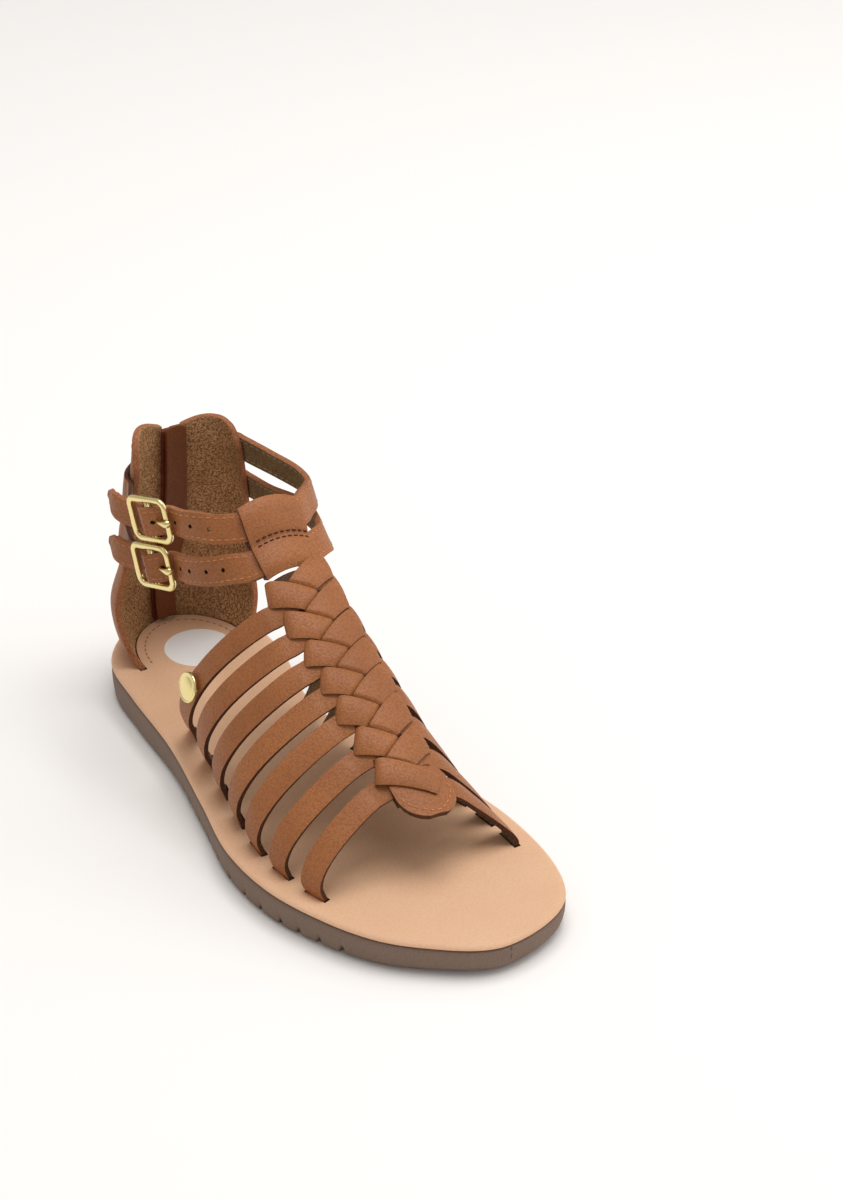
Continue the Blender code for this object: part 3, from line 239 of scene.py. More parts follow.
# Instep tab: station, outer rise in metres over the form, as two rolls and a seam
TAB_TABLE = (
    (0.3600, -0.0004),
    (0.3660, 0.0007),
    (0.3797, 0.0011),
    (0.3935, 0.0006),
    (0.4007, -0.0002),
    (0.4080, 0.0005),
    (0.4214, 0.0009),
    (0.4360, 0.0002),
    (0.4450, -0.0012),
)
TUNNELS = (0.3815, 0.4214)
TUNNEL_OFFS = (-0.0100, -0.0035, 0.0030, 0.0080)
TUNNEL_BOW = 0.0010
# Heel counter: height, back line, front line, lateral and medial half width, LENGTH shares
COUNTER_TABLE = (
    (0.0620, 0.0140, 0.1400, 0.0980, 0.0950),
    (0.0850, 0.0110, 0.1290, 0.1080, 0.1060),
    (0.1200, 0.0110, 0.1230, 0.1180, 0.1150),
    (0.1620, 0.0190, 0.1130, 0.1210, 0.1170),
    (0.2380, 0.0500, 0.1230, 0.1080, 0.1100),
    (0.3100, 0.0680, 0.1340, 0.0990, 0.1000),
    (0.3800, 0.0780, 0.1430, 0.0930, 0.0900),
    (0.4400, 0.0830, 0.1440, 0.0850, 0.0820),
    (0.4800, 0.0850, 0.1420, 0.0800, 0.0780),
)
COUNTER_SEAT = 0.0620
# Top edge of each flap: share of the way from zip to front, height as LENGTH share
FLAP_TABLE = (
    (0.00, 0.4480, 0.4420),
    (0.25, 0.4600, 0.4510),
    (0.50, 0.4640, 0.4540),
    (0.75, 0.4560, 0.4480),
    (0.90, 0.4400, 0.4340),
    (1.00, 0.4150, 0.4060),
)
# Ankle straps beside the foot: forward, out, up and turn from upright to the tab's slope
ANKLE_TABLES = {
    "upper": {
        "height": {1: 0.379, -1: 0.3985},
        "medial": (
            (0.1952, -0.1286, 0.3920, 0.00),
            (0.2429, -0.1429, 0.3860, 0.05),
            (0.2857, -0.1395, 0.3860, 0.20),
            (0.3167, -0.1205, 0.3948, 0.50),
            (0.3400, -0.0985, 0.4010, 0.80),
            (0.3600, -0.0800, 0.4050, 0.95),
        ),
        "lateral": (
            (0.3640, 0.0375, 0.4085, 0.95),
            (0.3480, 0.0570, 0.4060, 0.80),
            (0.3330, 0.0730, 0.4070, 0.50),
            (0.2960, 0.0950, 0.4000, 0.20),
            (0.2460, 0.1110, 0.3900, 0.05),
            (0.2030, 0.1230, 0.3780, 0.00),
        ),
        "tip": ((0.1710, 0.1310, 0.3820, 0.00), (0.1470, 0.1270, 0.3940, 0.00)),
        "stay": ((0.185, 0.1080, 0.3780),),
    },
    "lower": {
        "height": {1: 0.305, -1: 0.3290},
        "medial": (
            (0.1952, -0.1262, 0.3333, 0.00),
            (0.2476, -0.1419, 0.3350, 0.05),
            (0.2952, -0.1390, 0.3390, 0.20),
            (0.3333, -0.1286, 0.3457, 0.45),
            (0.3714, -0.1124, 0.3538, 0.75),
            (0.3950, -0.0895, 0.3630, 0.90),
        ),
        "lateral": (
            (0.4080, 0.0370, 0.3650, 0.95),
            (0.3900, 0.0550, 0.3590, 0.80),
            (0.3640, 0.0720, 0.3480, 0.50),
            (0.3140, 0.0930, 0.3310, 0.20),
            (0.2470, 0.1110, 0.3110, 0.05),
            (0.2030, 0.1230, 0.3040, 0.00),
        ),
        "tip": ((0.1700, 0.1320, 0.3070, 0.00), (0.1460, 0.1300, 0.3150, 0.00)),
        "stay": ((0.182, 0.1090, 0.3040),),
    },
}
BUCKLE_STEP = 4
ANKLE_STEPS = 8
ANKLE_LEAN = {1: (0.0, -0.12), -1: (-0.22, 0.04)}
ANKLE_ANGLES = (22.0, 40.0, 58.0, 76.0, 90.0)
STAY_ANGLES = (26.0, 44.0, 62.0, 78.0, 90.0)
# Stay's end under the buckle, from the bar: along the strap and off the buckle's plane
STAY_END = ((-0.0085, -0.0051), (-0.0050, -0.0042), (-0.0018, -0.0012))
# Offset of the strap from the buckle's plane, both ways along it in metres from the bar
WEAVE = (
    (0.0, 0.0021), (0.0034, 0.0001), (0.0060, -0.0022), (0.0095, -0.0023), (0.0150, -0.0010),
    (0.0220, 0.0),
)


def at(along, out, up):
    """Foot coordinates to the model's frame."""
    return Vector((-out, HEEL_TREAD - along, up))


def foot(point):
    """The model's frame back to foot coordinates."""
    return HEEL_TREAD - point.y, -point.x, point.z


def column(table, index, where):
    """Smooth value of one column of a table whose first column is the station."""
    xs = np.array([row[0] for row in table])
    ys = np.array([row[index] for row in table])
    slopes = np.gradient(ys, xs)
    spot = int(np.clip(np.searchsorted(xs, where) - 1, 0, len(xs) - 2))
    span = xs[spot + 1] - xs[spot]
    t = (where - xs[spot]) / span
    if t < 0.0 or t > 1.0:
        end = 0 if t < 0.0 else -1
        return float(ys[end] + slopes[end] * (where - xs[end]))
    a, b = ys[spot], ys[spot + 1]
    ma, mb = slopes[spot] * span, slopes[spot + 1] * span
    return float((2 * t ** 3 - 3 * t ** 2 + 1) * a + (t ** 3 - 2 * t ** 2 + t) * ma
                 + (3 * t ** 2 - 2 * t ** 3) * b + (t ** 3 - t ** 2) * mb)


def through(points, steps):
    """Catmull-Rom curve through rows of numbers, steps samples to a span."""
    rows = [np.array(p, dtype=float) for p in points]
    rows = [2 * rows[0] - rows[1]] + rows + [2 * rows[-1] - rows[-2]]
    out = []
    for i in range(1, len(rows) - 2):
        a, b, c, d = rows[i - 1:i + 3]
        for k in range(steps):
            t = k / steps
            out.append(0.5 * (2 * b + (c - a) * t + (2 * a - 5 * b + 4 * c - d) * t ** 2
                              + (3 * b - 3 * c + d - a) * t ** 3))
    out.append(rows[-2])
    return out


def around(points, k):
    """Step from the point before one of a row to the point after it."""
    return points[min(k + 1, len(points) - 1)] - points[max(k - 1, 0)]


def square_to(direction, axis):
    """Direction with its part along an axis taken out."""
    return (direction - axis * direction.dot(axis)).normalized()


def round_share(station):
    """Station measured so that a round end has a straight width table."""
    return math.acos(1.0 - 2.0 * min(max(station, 0.0), 1.0)) / math.pi


def sole_edges(station):
    """Lateral and medial out values of the sole's outline at a station."""
    rows = [(0.0, 0.0, 0.0)]
    rows += [(round_share(row[0]), row[1], -row[2]) for row in SOLE_TABLE]
    rows.append((1.0, TOE_POINT_OUT, TOE_POINT_OUT))
    share = round_share(station)
    return column(rows, 1, share) * LENGTH, column(rows, 2, share) * LENGTH


def tread_height(station):
    arch = np.interp(station, [row[0] for row in TREAD_TABLE], [row[1] for row in TREAD_TABLE])
    spring = np.interp(station, [row[0] for row in TREAD_TABLE], [row[2] for row in TREAD_TABLE])
    return float(arch) * ARCH_RISE + float(spring) * TOE_SPRING


def sole_top(station):
    return HEEL_HEIGHT + (TOE_HEIGHT - HEEL_HEIGHT) * station


def footbed_top(station):
    return sole_top(station) + CLEARANCE + FOOTBED_THICK


def upper_point(along, across):
    """Point on the upper's outer form.

    across runs from -2 at the medial slot, over -1 and 1 at the braid's edges, to 2 at
    the lateral slot; the crown between the edges is round and the legs are curves.
    """
    station = along / LENGTH
    crown = column(UPPER_TABLE, 1, station) * LENGTH
    side = 1 if across >= 0 else -1
    reach = abs(across)
    if reach <= 1.0:
        off = side * reach * BRAID_HALF
        drop = CROWN_RADIUS - math.sqrt(CROWN_RADIUS ** 2 - off ** 2)
        return at(along, CROWN_OUT + off, crown - drop)
    leg = LEG[side]
    slot = side * column(UPPER_TABLE, 2 if side > 0 else 3, station) * LENGTH
    low = footbed_top(station)
    edge_slope = math.asin(BRAID_HALF / CROWN_RADIUS)
    edge_out = CROWN_OUT + side * BRAID_HALF
    edge_up = crown - CROWN_RADIUS * (1.0 - math.cos(edge_slope))
    tall = edge_up - low
    ease = leg["ease"] * math.hypot(slot - edge_out, tall)
    corners = (
        (slot, low),
        (slot + side * leg["bulge"] * tall, low + leg["rise"] * tall),
        (edge_out + side * ease * math.cos(edge_slope), edge_up - ease * math.sin(edge_slope)),
        (edge_out, edge_up),
    )
    t = 2.0 - reach
    shares = ((1 - t) ** 3, 3 * (1 - t) ** 2 * t, 3 * (1 - t) * t * t, t ** 3)
    out = sum(k * c[0] for k, c in zip(shares, corners))
    up = sum(k * c[1] for k, c in zip(shares, corners))
    return at(along, out, up)


def upper_normal(along, across):
    step = 0.001
    ahead = upper_point(along + step, across) - upper_point(along - step, across)
    over = upper_point(along, across + 0.02) - upper_point(along, across - 0.02)
    return over.cross(ahead).normalized()


def on_upper(along, across, rise):
    return upper_point(along, across) + upper_normal(along, across) * rise


def slot_heading(side, slot):
    """Level direction of the row of slots at one slot, towards the toe."""
    step = 0.02
    index = 2 if side > 0 else 3
    ends = [side * column(UPPER_TABLE, index, slot + d) * LENGTH for d in (-step, step)]
    return (at(step * LENGTH, ends[1], 0.0) - at(-step * LENGTH, ends[0], 0.0)).normalized()


def leg_run(side, slot, top, count):
    """Along and across values of a strap from its slot to the braid's edge."""
    middle = (slot + top) / 2.0 * LENGTH
    marks = [2.0 - k / count for k in range(count + 1)]
    spots = [upper_point(middle, side * m) for m in marks]
    runs = [0.0]
    for a, b in zip(spots, spots[1:]):
        runs.append(runs[-1] + (b - a).length)
    lean = LEG[side]["lean"]
    rows = []
    for mark, run in zip(marks, runs):
        share = run / runs[-1]
        along = slot + (top - slot) * (share + lean * share * (1.0 - share))
        rows.append((along * LENGTH, side * mark))
    return rows


def strap_lines(side, slot, top, count):
    """Centres, across directions and outward directions of one strap of the upper."""
    rows = leg_run(side, slot, top, count)
    crown_runs = (0.75, 0.5, 0.25)
    for k in crown_runs:
        rows.append((top * LENGTH + (1.0 - k) * BRAID_HALF * 0.15, side * k))
    centres, normals = [], []
    for k, (along, across) in enumerate(rows):
        share = max(0.0, (k - count + 1.5) / 2.0)
        rise = -STRAP_DIVE * min(1.0, share)
        centres.append(on_upper(along, across, rise))
        normals.append(upper_normal(along, across))
    foot = centres[0].copy()
    flat = slot_heading(side, slot)
    outward = at(0.0, side, 0.0) - at(0.0, 0.0, 0.0)
    outward = square_to(outward, flat)
    sunk = foot - Vector((0.0, 0.0, STRAP_SINK))
    centres = [sunk] + centres
    normals = [outward, outward] + normals[1:]
    crosses = []
    for k in range(len(centres)):
        free = around(centres, k).cross(normals[k]).normalized()
        if free.dot(flat) < 0:
            free.negate()
        blend = min(1.0, max(0.0, (k - 1) / 3.0))
        crosses.append((flat * (1.0 - blend) + free * blend).normalized())
    return centres, crosses, normals


def crown_place(along, off, rise):
    """Point and normal on the crown from its station in metres and offset to the side."""
    across = off / BRAID_HALF
    return on_upper(along, across, rise), upper_normal(along, across)


def strip_middle(row, side, off):
    """Station in metres of a raised strip's middle line at an offset from the crown."""
    lay = BRAID_LAY[side]
    return BRAID_TABLE[row][0] * LENGTH + lay["ahead"] + lay["slope"] * off


def toe_tab_place(s, t):
    """Rounded tongue that ends the braid."""
    start = (BRAID_TABLE[-1][0] - 0.024) * LENGTH
    along = start + TOE_TAB_LENGTH * s
    beyond = max(0.0, (s - TOE_TAB_ROUND) / (1.0 - TOE_TAB_ROUND))
    half = TOE_TAB_HALF * math.sqrt(1.0 - (0.95 * beyond) ** 2)
    rise = 0.0003 - 0.0012 * max(0.0, 1.0 - s / 0.2)
    return crown_place(along, TOE_TAB_MIDDLE + half * (2.0 * t - 1.0), rise)


def backing_place(s, t):
    start = (BRAID_TABLE[0][0] - 0.016) * LENGTH
    end = (BRAID_TABLE[-1][0] + 0.014) * LENGTH
    along = start + (end - start) * s
    return crown_place(along, BACKING_HALF * (2.0 * t - 1.0) + BACKING_MIDDLE, -BACKING_DEPTH)


def counter_point(angle, up, side):
    """Point on the middle of the counter's wall; angle 0 is the back, 90 the front edge."""
    share = up / LENGTH
    back = column(COUNTER_TABLE, 1, share) * LENGTH
    front = column(COUNTER_TABLE, 2, share) * LENGTH
    half = column(COUNTER_TABLE, 3 if side > 0 else 4, share) * LENGTH
    turn = math.radians(angle)
    along = back + (front - back) * (1.0 - math.cos(turn))
    return at(along, COUNTER_OUT + side * half * math.sin(turn), up)


def counter_rise(angle, up, side):
    """Lean of the wall over one unit of height."""
    step = 0.001
    lean = counter_point(angle, up + step, side) - counter_point(angle, up - step, side)
    return lean / (2 * step)


def counter_normal(angle, up, side):
    around = counter_point(angle + 1.0, up, side) - counter_point(angle - 1.0, up, side)
    rise = counter_point(angle, up + 0.001, side) - counter_point(angle, up - 0.001, side)
    return (around.cross(rise) * side).normalized()


def on_counter(angle, up, side, lift):
    normal = counter_normal(angle, up, side)
    return counter_point(angle, up, side) + normal * lift, normal


def zip_angle(up, off):
    """Angle at which the wall lies a given distance from the centre back."""
    half = column(COUNTER_TABLE, 3, up / LENGTH) * LENGTH
    return math.degrees(math.asin(off / half))


def flap_top(share, side):
    return column(FLAP_TABLE, 1 if side > 0 else 2, share) * LENGTH


def quarter_place(side, base, lift):
    def place(s, t):
        crest = flap_top(s, side)
        up = base + (crest - base) * t
        first = zip_angle(up, ZIP_GAP / 2.0)
        angle = first + (90.0 - first) * s
        return on_counter(angle, up, side, lift)

    return place


def axes_frame(origin, x, y, z):
    """Matrix whose columns are three directions and an origin."""
    frame = Matrix.Identity(4)
    for k, axis in enumerate((x, y, z)):
        for row in range(3):
            frame[row][k] = axis[row]
    for row in range(3):
        frame[row][3] = origin[row]
    return frame


def tab_rise(along):
    return column(TAB_TABLE, 1, along / LENGTH)


def tab_place(s, t):
    """Outer face of the instep tab."""
    first, last = TAB_TABLE[0][0] * LENGTH, TAB_TABLE[-1][0] * LENGTH
    along = first + (last - first) * s
    return crown_place(along, TAB_MIDDLE + TAB_HALF * (2.0 * t - 1.0), tab_rise(along))


def tab_depth():
    return TAB_LEATHER * 2.0 + ANKLE_THICK + 2.0 * TAB_CLEAR


def tunnel_spot(which, off):
    """Strap's middle inside a tunnel of the instep tab."""
    along = TUNNELS[which] * LENGTH - TUNNEL_BOW * (off / TAB_HALF) ** 2
    depth = TAB_LEATHER + TAB_CLEAR + ANKLE_THICK / 2.0
    point, normal = crown_place(along, off, tab_rise(along) - depth)
    share = off / BRAID_HALF
    slope = upper_point(along + 0.001, share) - upper_point(along - 0.001, share)
    return point, normal, slope.normalized()


def free_row(row, side):
    """Table row of a free stretch in metres, with the lean of its width on that side."""
    along, out, up, turn = row
    return along * LENGTH, out * LENGTH, up * LENGTH, turn, *ANKLE_LEAN[side]


def ankle_rows(name):
    """Whole ankle strap from its medial end: place, turn and the lean of its width."""
    table = ANKLE_TABLES[name]
    which = 0 if name == "upper" else 1
    lift = COUNTER_THICK / 2.0 + LAP_CLEAR + ANKLE_THICK / 2.0
    rows = []
    for angle in ANKLE_ANGLES:
        up = table["height"][-1] * LENGTH
        point, normal = on_counter(angle, up, -1, lift)
        rise = counter_rise(angle, up, -1)
        rows.append((*foot(point), 0.0, rise.x, rise.y))
    rows += [free_row(row, -1) for row in table["medial"]]
    for off in TUNNEL_OFFS:
        point, normal, slope = tunnel_spot(which, off)
        rows.append((*foot(point), 1.0, 0.0, 0.0))
    bar = len(rows) + BUCKLE_STEP
    rows += [free_row(row, 1) for row in table["lateral"] + table["tip"]]
    return rows, bar


def ankle_curve(name, steps):
    """Points, across and outward directions of a strap's middle, and the bar's index."""
    rows, bar = ankle_rows(name)
    rows = through(rows, steps)
    which = 0 if name == "upper" else 1
    slope = tunnel_spot(which, 0.0)[2]
    points = [at(r[0], r[1], r[2]) for r in rows]
    middle = at(0.24 * LENGTH, CROWN_OUT, 0.0)
    crosses, outs = [], []
    for k, row in enumerate(rows):
        ahead = around(points, k).normalized()
        upright = Vector((row[4], row[5], 1.0))
        wide = (upright * (1.0 - row[3]) - slope * row[3]).normalized()
        wide = square_to(wide, ahead)
        out = ahead.cross(wide).normalized()
        side = points[k] - middle
        side.z = max(side.z, 0.0) * row[3]
        if out.dot(side) < 0:
            out.negate()
        crosses.append(wide)
        outs.append(out)
    return points, crosses, outs, bar * steps


def buckle_place(name):
    """Middle of a buckle with its along, across and outward directions."""
    points, crosses, outs, bar = ankle_curve(name, ANKLE_STEPS)
    ahead = (points[bar - 2] - points[bar + 2]).normalized()
    across = square_to(crosses[bar], ahead)
    out = outs[bar]
    out = (out - ahead * out.dot(ahead) - across * out.dot(across)).normalized()
    return points[bar], ahead, across, out


# Finishes


def tint(red, green, blue):
    """Linear colour from 8-bit values."""
    shares = []
    for value in (red, green, blue):
        level = value / 255.0
        shares.append(level / 12.92 if level <= 0.04045 else ((level + 0.055) / 1.055) ** 2.4)
    return (*shares, 1.0)


def add_node(tree, kind, **values):
    node = tree.nodes.new(kind)
    for name, value in values.items():
        setattr(node, name, value)
    return node


def wire(tree, kind, inputs, **settings):
    """Outputs of a new node whose inputs are linked to a socket or set to a value."""
    node = add_node(tree, kind, **settings)
    for key, value in inputs.items():
        if isinstance(value, bpy.types.NodeSocket):
            tree.links.new(value, node.inputs[key])
        else:
            node.inputs[key].default_value = value
    return node.outputs


def mixer(tree, factor, first, second):
    """Mix of two colours."""
    return wire(tree, "ShaderNodeMix", {0: factor, 6: first, 7: second}, data_type='RGBA')[2]


def ramp(tree, value, low, high):
    """0 to 1 as a socket's value goes from low to high."""
    limits = {"Value": value, "From Min": low, "From Max": high}
    return wire(tree, "ShaderNodeMapRange", limits, clamp=True)["Result"]


def noise(tree, place, scale, detail=2.0):
    inputs = {"Vector": place, "Scale": scale, "Detail": detail}
    return wire(tree, "ShaderNodeTexNoise", inputs)["Fac"]


def new_group(name, inputs, outputs):
    """Node group with its tree, given values, result sockets and Object coordinates."""
    tree = bpy.data.node_groups.new(name, 'ShaderNodeTree')
    for way, sockets in (('INPUT', inputs), ('OUTPUT', outputs)):
        for socket, kind in sockets:
            tree.interface.new_socket(name=socket, in_out=way, socket_type="NodeSocket" + kind)
    given = add_node(tree, "NodeGroupInput").outputs
    result = add_node(tree, "NodeGroupOutput").inputs
    return tree, given, result, add_node(tree, "ShaderNodeTexCoord").outputs["Object"]


def grain_group():
    """Pebbled leather: colour, roughness and normal from two colours and a cell size."""
    tree, given, result, place = new_group(
        "leather grain",
        (("Light", "Color"), ("Dark", "Color"), ("Cells", "Float"), ("Depth", "Float"),
         ("Gloss", "Float")),
        (("Color", "Color"), ("Roughness", "Float"), ("Normal", "Vector")))
    cells = wire(tree, "ShaderNodeTexVoronoi",
                 {"Vector": place, "Scale": given["Cells"], "Smoothness": 0.35},
                 feature='SMOOTH_F1')["Distance"]
    fine = noise(tree, place, 2600.0)
    pits = ramp(tree, cells, 0.25, 0.75)
    patches = ramp(tree, noise(tree, place, 55.0, 3.0), 0.30, 1.25)
    worn = mixer(tree, patches, given["Light"], given["Dark"])
    creased = mixer(tree, 0.45, worn, given["Dark"])
    rough = wire(tree, "ShaderNodeMath", {0: pits, 1: 0.12, 2: given["Gloss"]},
                 operation='MULTIPLY_ADD')[0]
    low = wire(tree, "ShaderNodeBump",
               {"Distance": 0.00016, "Strength": given["Depth"], "Height": cells},
               invert=True)["Normal"]
    high = wire(tree, "ShaderNodeBump",
                {"Distance": 0.00004, "Strength": 0.35, "Height": fine, "Normal": low})["Normal"]
    tree.links.new(mixer(tree, pits, worn, creased), result["Color"])
    tree.links.new(rough, result["Roughness"])
    tree.links.new(high, result["Normal"])
    return tree


def nap_group():
    """Suede, cloth or rubber: a speckled colour and its normal."""
    tree, given, result, place = new_group(
        "fine nap",
        (("Light", "Color"), ("Dark", "Color"), ("Scale", "Float"), ("Depth", "Float")),
        (("Color", "Color"), ("Normal", "Vector")))
    speck = noise(tree, place, given["Scale"])
    clouds = ramp(tree, noise(tree, place, 70.0), 0.25, 1.1)
    base = mixer(tree, clouds, given["Light"], given["Dark"])
    shade = mixer(tree, ramp(tree, speck, 0.38, 0.62), given["Dark"], base)
    bump = wire(tree, "ShaderNodeBump",
                {"Distance": 0.0002, "Strength": given["Depth"], "Height": speck})["Normal"]
    tree.links.new(shade, result["Color"])
    tree.links.new(bump, result["Normal"])
    return tree


def new_finish(name, **sockets):
    """Material with one Principled shader and its constant sockets set."""
    finish = bpy.data.materials.new(name)
    finish.use_nodes = True
    shader = finish.node_tree.nodes["Principled BSDF"]
    for socket, value in sockets.items():
        shader.inputs[socket.replace("_", " ")].default_value = value
    return finish


def with_group(finish, group, **values):
    """Place a node group in a finish and feed the sockets that it gives."""
    tree = finish.node_tree
    outputs = wire(tree, "ShaderNodeGroup", values, node_tree=group)
    for output, socket in (("Color", "Base Color"), ("Roughness", "Roughness"),
                           ("Normal", "Normal")):
        if output in outputs:
            tree.links.new(outputs[output], tree.nodes["Principled BSDF"].inputs[socket])
    return finish


GRAIN = grain_group()
NAP = nap_group()


def leather(name, light, dark, cells, depth, gloss, specular):
    finish = new_finish(name, Specular_IOR_Level=specular)
    return with_group(finish, GRAIN, Light=tint(*light), Dark=tint(*dark), Cells=cells,
                      Depth=depth, Gloss=gloss)


def napped(name, light, dark, scale, depth, roughness, specular):
    finish = new_finish(name, Roughness=roughness, Specular_IOR_Level=specular)
    return with_group(finish, NAP, Light=tint(*light), Dark=tint(*dark), Scale=scale, Depth=depth)


TAN = leather("tan leather", (170, 107, 62), (122, 70, 37), 1500.0, 0.65, 0.44, 0.28)
COUNTER_TAN = leather("counter leather", (166, 104, 62), (122, 70, 38), 1500.0, 0.50, 0.46, 0.26)
# Dark colour of the leather's cut edges; it also covers the backing's outer face as painted shade
# between the braid's strips
CUT_EDGE_AND_SHADE = napped("cut edge", (96, 56, 34), (62, 35, 21), 1800.0, 0.4, 0.7, 0.25)
PALE_EDGE = napped("pale cut edge", (176, 116, 76), (134, 82, 50), 1800.0, 0.4, 0.7, 0.25)
FLESH_SIDE = napped("flesh side", (150, 124, 88), (108, 86, 58), 1700.0, 0.5, 0.85, 0.15)
SUEDE = napped("suede lining", (214, 166, 118), (122, 86, 56), 1700.0, 0.8, 0.95, 0.08)
GUARD = leather("guard leather", (118, 64, 28), (88, 46, 20), 1600.0, 0.2, 0.45, 0.2)
FOOTBED = leather("footbed leather", (224, 181, 146), (211, 165, 129), 1500.0, 0.16, 0.52, 0.3)
# Walls of the footbed's slots, its heel groove and the straps' holes: painted shade in these
# recesses
SLOT_SHADE = napped("painted shade in slots", (84, 56, 38), (52, 34, 22), 1500.0, 0.3, 0.85, 0.1)
RUBBER = napped("sole rubber", (136, 113, 98), (122, 101, 87), 2200.0, 0.15, 0.72, 0.3)
THREAD = napped("thread", (214, 150, 100), (170, 104, 62), 4000.0, 0.4, 0.7, 0.2)
PALE_THREAD = napped("pale thread", (192, 178, 146), (160, 146, 114), 4000.0, 0.4, 0.75, 0.2)
DARK_THREAD = napped("dark thread", (92, 48, 28), (64, 32, 18), 4000.0, 0.4, 0.7, 0.2)
BED_THREAD = napped("footbed thread", (190, 142, 104), (166, 120, 84), 4000.0, 0.4, 0.75, 0.2)
TAPE = napped("zip tape", (136, 66, 50), (100, 44, 34), 2600.0, 0.6, 0.85, 0.15)
ELASTIC = napped("elastic", (150, 144, 136), (112, 106, 100), 2600.0, 0.6, 0.85, 0.15)
TEETH = new_finish("zip teeth", Base_Color=tint(118, 54, 42), Roughness=0.4)
PAINT = new_finish("pull paint", Base_Color=tint(96, 40, 32), Roughness=0.34, Metallic=0.3)
GOLD = new_finish("pale gold", Base_Color=tint(238, 220, 156), Roughness=0.22, Metallic=1.0)
STRAP_LEATHER = [TAN, FLESH_SIDE, CUT_EDGE_AND_SHADE]
WHITE = new_finish("white print", Base_Color=tint(240, 238, 234), Roughness=0.55)


# Pieces

# Edges sharper than these are rounded, or shaded as edges after a cut
RIM_ANGLE = math.radians(50.0)
SHARP_ANGLE = math.radians(40.0)


def new_object(name, data):
    thing = bpy.data.objects.new(name, data)
    bpy.context.scene.collection.objects.link(thing)
    return thing


def mesh_of(name, body):
    """Mesh made from a bmesh, which is freed."""
    mesh = bpy.data.meshes.new(name)
    body.to_mesh(mesh)
    body.free()
    return mesh


def finish_piece(name, body, finishes, node=None, rides="sandal"):
    """Object from a bmesh, shown smooth, that rides a body and may replace a node."""
    mesh = mesh_of(name, body)
    for polygon in mesh.polygons:
        polygon.use_smooth = True
    for finish in finishes:
        mesh.materials.append(finish)
    thing = new_object(name, mesh)
    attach(thing, rides)
    if node:
        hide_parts(node)
    return thing


def lay(body, place, rows, cols):
    """Grid laid on a surface by place(s, t), its faces turned outwards."""
    made = bmesh.ops.create_grid(body, x_segments=rows, y_segments=cols, size=1.0)
    lean = 0.0
    for vert in made["verts"]:
        point, normal = place((vert.co.x + 1.0) / 2.0, (vert.co.y + 1.0) / 2.0)
        vert.co = point
        vert.normal = normal
    faces = sorted({f for v in made["verts"] for f in v.link_faces}, key=lambda f: f.index)
    for face in faces:
        facing = face.verts[0].normal.copy()
        face.normal_update()
        lean += face.normal.dot(facing)
    if lean < 0:
        bmesh.ops.reverse_faces(body, faces=faces)


def wall(name, jobs, thick, finishes, node=None, rim=0.0004, segments=3):
    """Sheets of leather with a wall, its inner side and rim in finishes of their own."""
    body = bmesh.new()
    for place, rows, cols in jobs:
        lay(body, place, rows, cols)
    thing = finish_piece(name, body, finishes, node)
    solid = thing.modifiers.new("wall", 'SOLIDIFY')
    solid.thickness = thick
    solid.offset = -1.0
    solid.use_even_offset = True
    solid.material_offset = 1
    solid.material_offset_rim = 2
    if rim:
        round_rim(thing, rim, segments)
    return thing


def round_rim(thing, width, segments):
    soft = thing.modifiers.new("rounded rim", 'BEVEL')
    soft.width = width
    soft.segments = segments
    soft.limit_method = 'ANGLE'
    soft.angle_limit = RIM_ANGLE


def take_shape(thing):
    """The object's modifiers made part of its mesh."""
    bpy.context.view_layer.update()
    seen = thing.evaluated_get(bpy.context.evaluated_depsgraph_get())
    mesh = bpy.data.meshes.new_from_object(seen)
    thing.modifiers.clear()
    thing.data = mesh
    return thing


def cut_away(thing, body, finish):
    """Cut a bmesh's bodies out of a piece; the new walls get the given finish."""
    mesh = mesh_of("cutter", body)
    mesh.materials.append(finish)
    tool = new_object("cutter", mesh)
    joint = thing.modifiers.new("cut", 'BOOLEAN')
    joint.operation = 'DIFFERENCE'
    joint.solver = 'EXACT'
    joint.material_mode = 'TRANSFER'
    joint.object = tool
    take_shape(thing)
    thing.data.set_sharp_from_angle(angle=SHARP_ANGLE)
    bpy.data.objects.remove(tool)
    return thing


def loft(body, rings, closed=False):
    """Tube through rings with the same number of corners, laid from one grid."""
    rows, cols = len(rings), len(rings[0])
    spans = rows if closed else rows - 1
    made = bmesh.ops.create_grid(body, x_segments=spans, y_segments=cols, size=1.0)
    for vert in made["verts"]:
        i = int(round((vert.co.x + 1.0) / 2.0 * spans)) % rows
        j = int(round((vert.co.y + 1.0) / 2.0 * cols)) % cols
        vert.co = rings[i][j]
    bmesh.ops.remove_doubles(body, verts=made["verts"], dist=0.000002)
    rims = [edge for edge in body.edges if edge.is_boundary]
    if rims:
        bmesh.ops.holes_fill(body, edges=rims, sides=0)
    body.normal_update()
    bmesh.ops.recalc_face_normals(body, faces=body.faces)


def cylinder(body, radius, depth, place, segments=20):
    bmesh.ops.create_cone(body, cap_ends=True, segments=segments, radius1=radius,
                          radius2=radius, depth=depth, matrix=place)


def refined(rows, steps):
    """Rows of centre, across and outward directions, with steps rows to a span."""
    fine = through([(*a, *b, *c) for a, b, c in rows], steps)
    return [(Vector(r[0:3]), Vector(r[3:6]).normalized(), Vector(r[6:9]).normalized())
            for r in fine]


def along_strip(rows, halves, crown, lift=0.0):
    """place() for a strip whose outer face rises by crown in its middle."""
    count = len(rows) - 1

    def place(s, t):
        spot = int(round(s * count))
        centre, cross, out = rows[spot]
        across = 2.0 * t - 1.0
        rise = lift + crown * (1.0 - across * across)
        return centre + cross * halves[spot] * across + out * rise, out

    return place


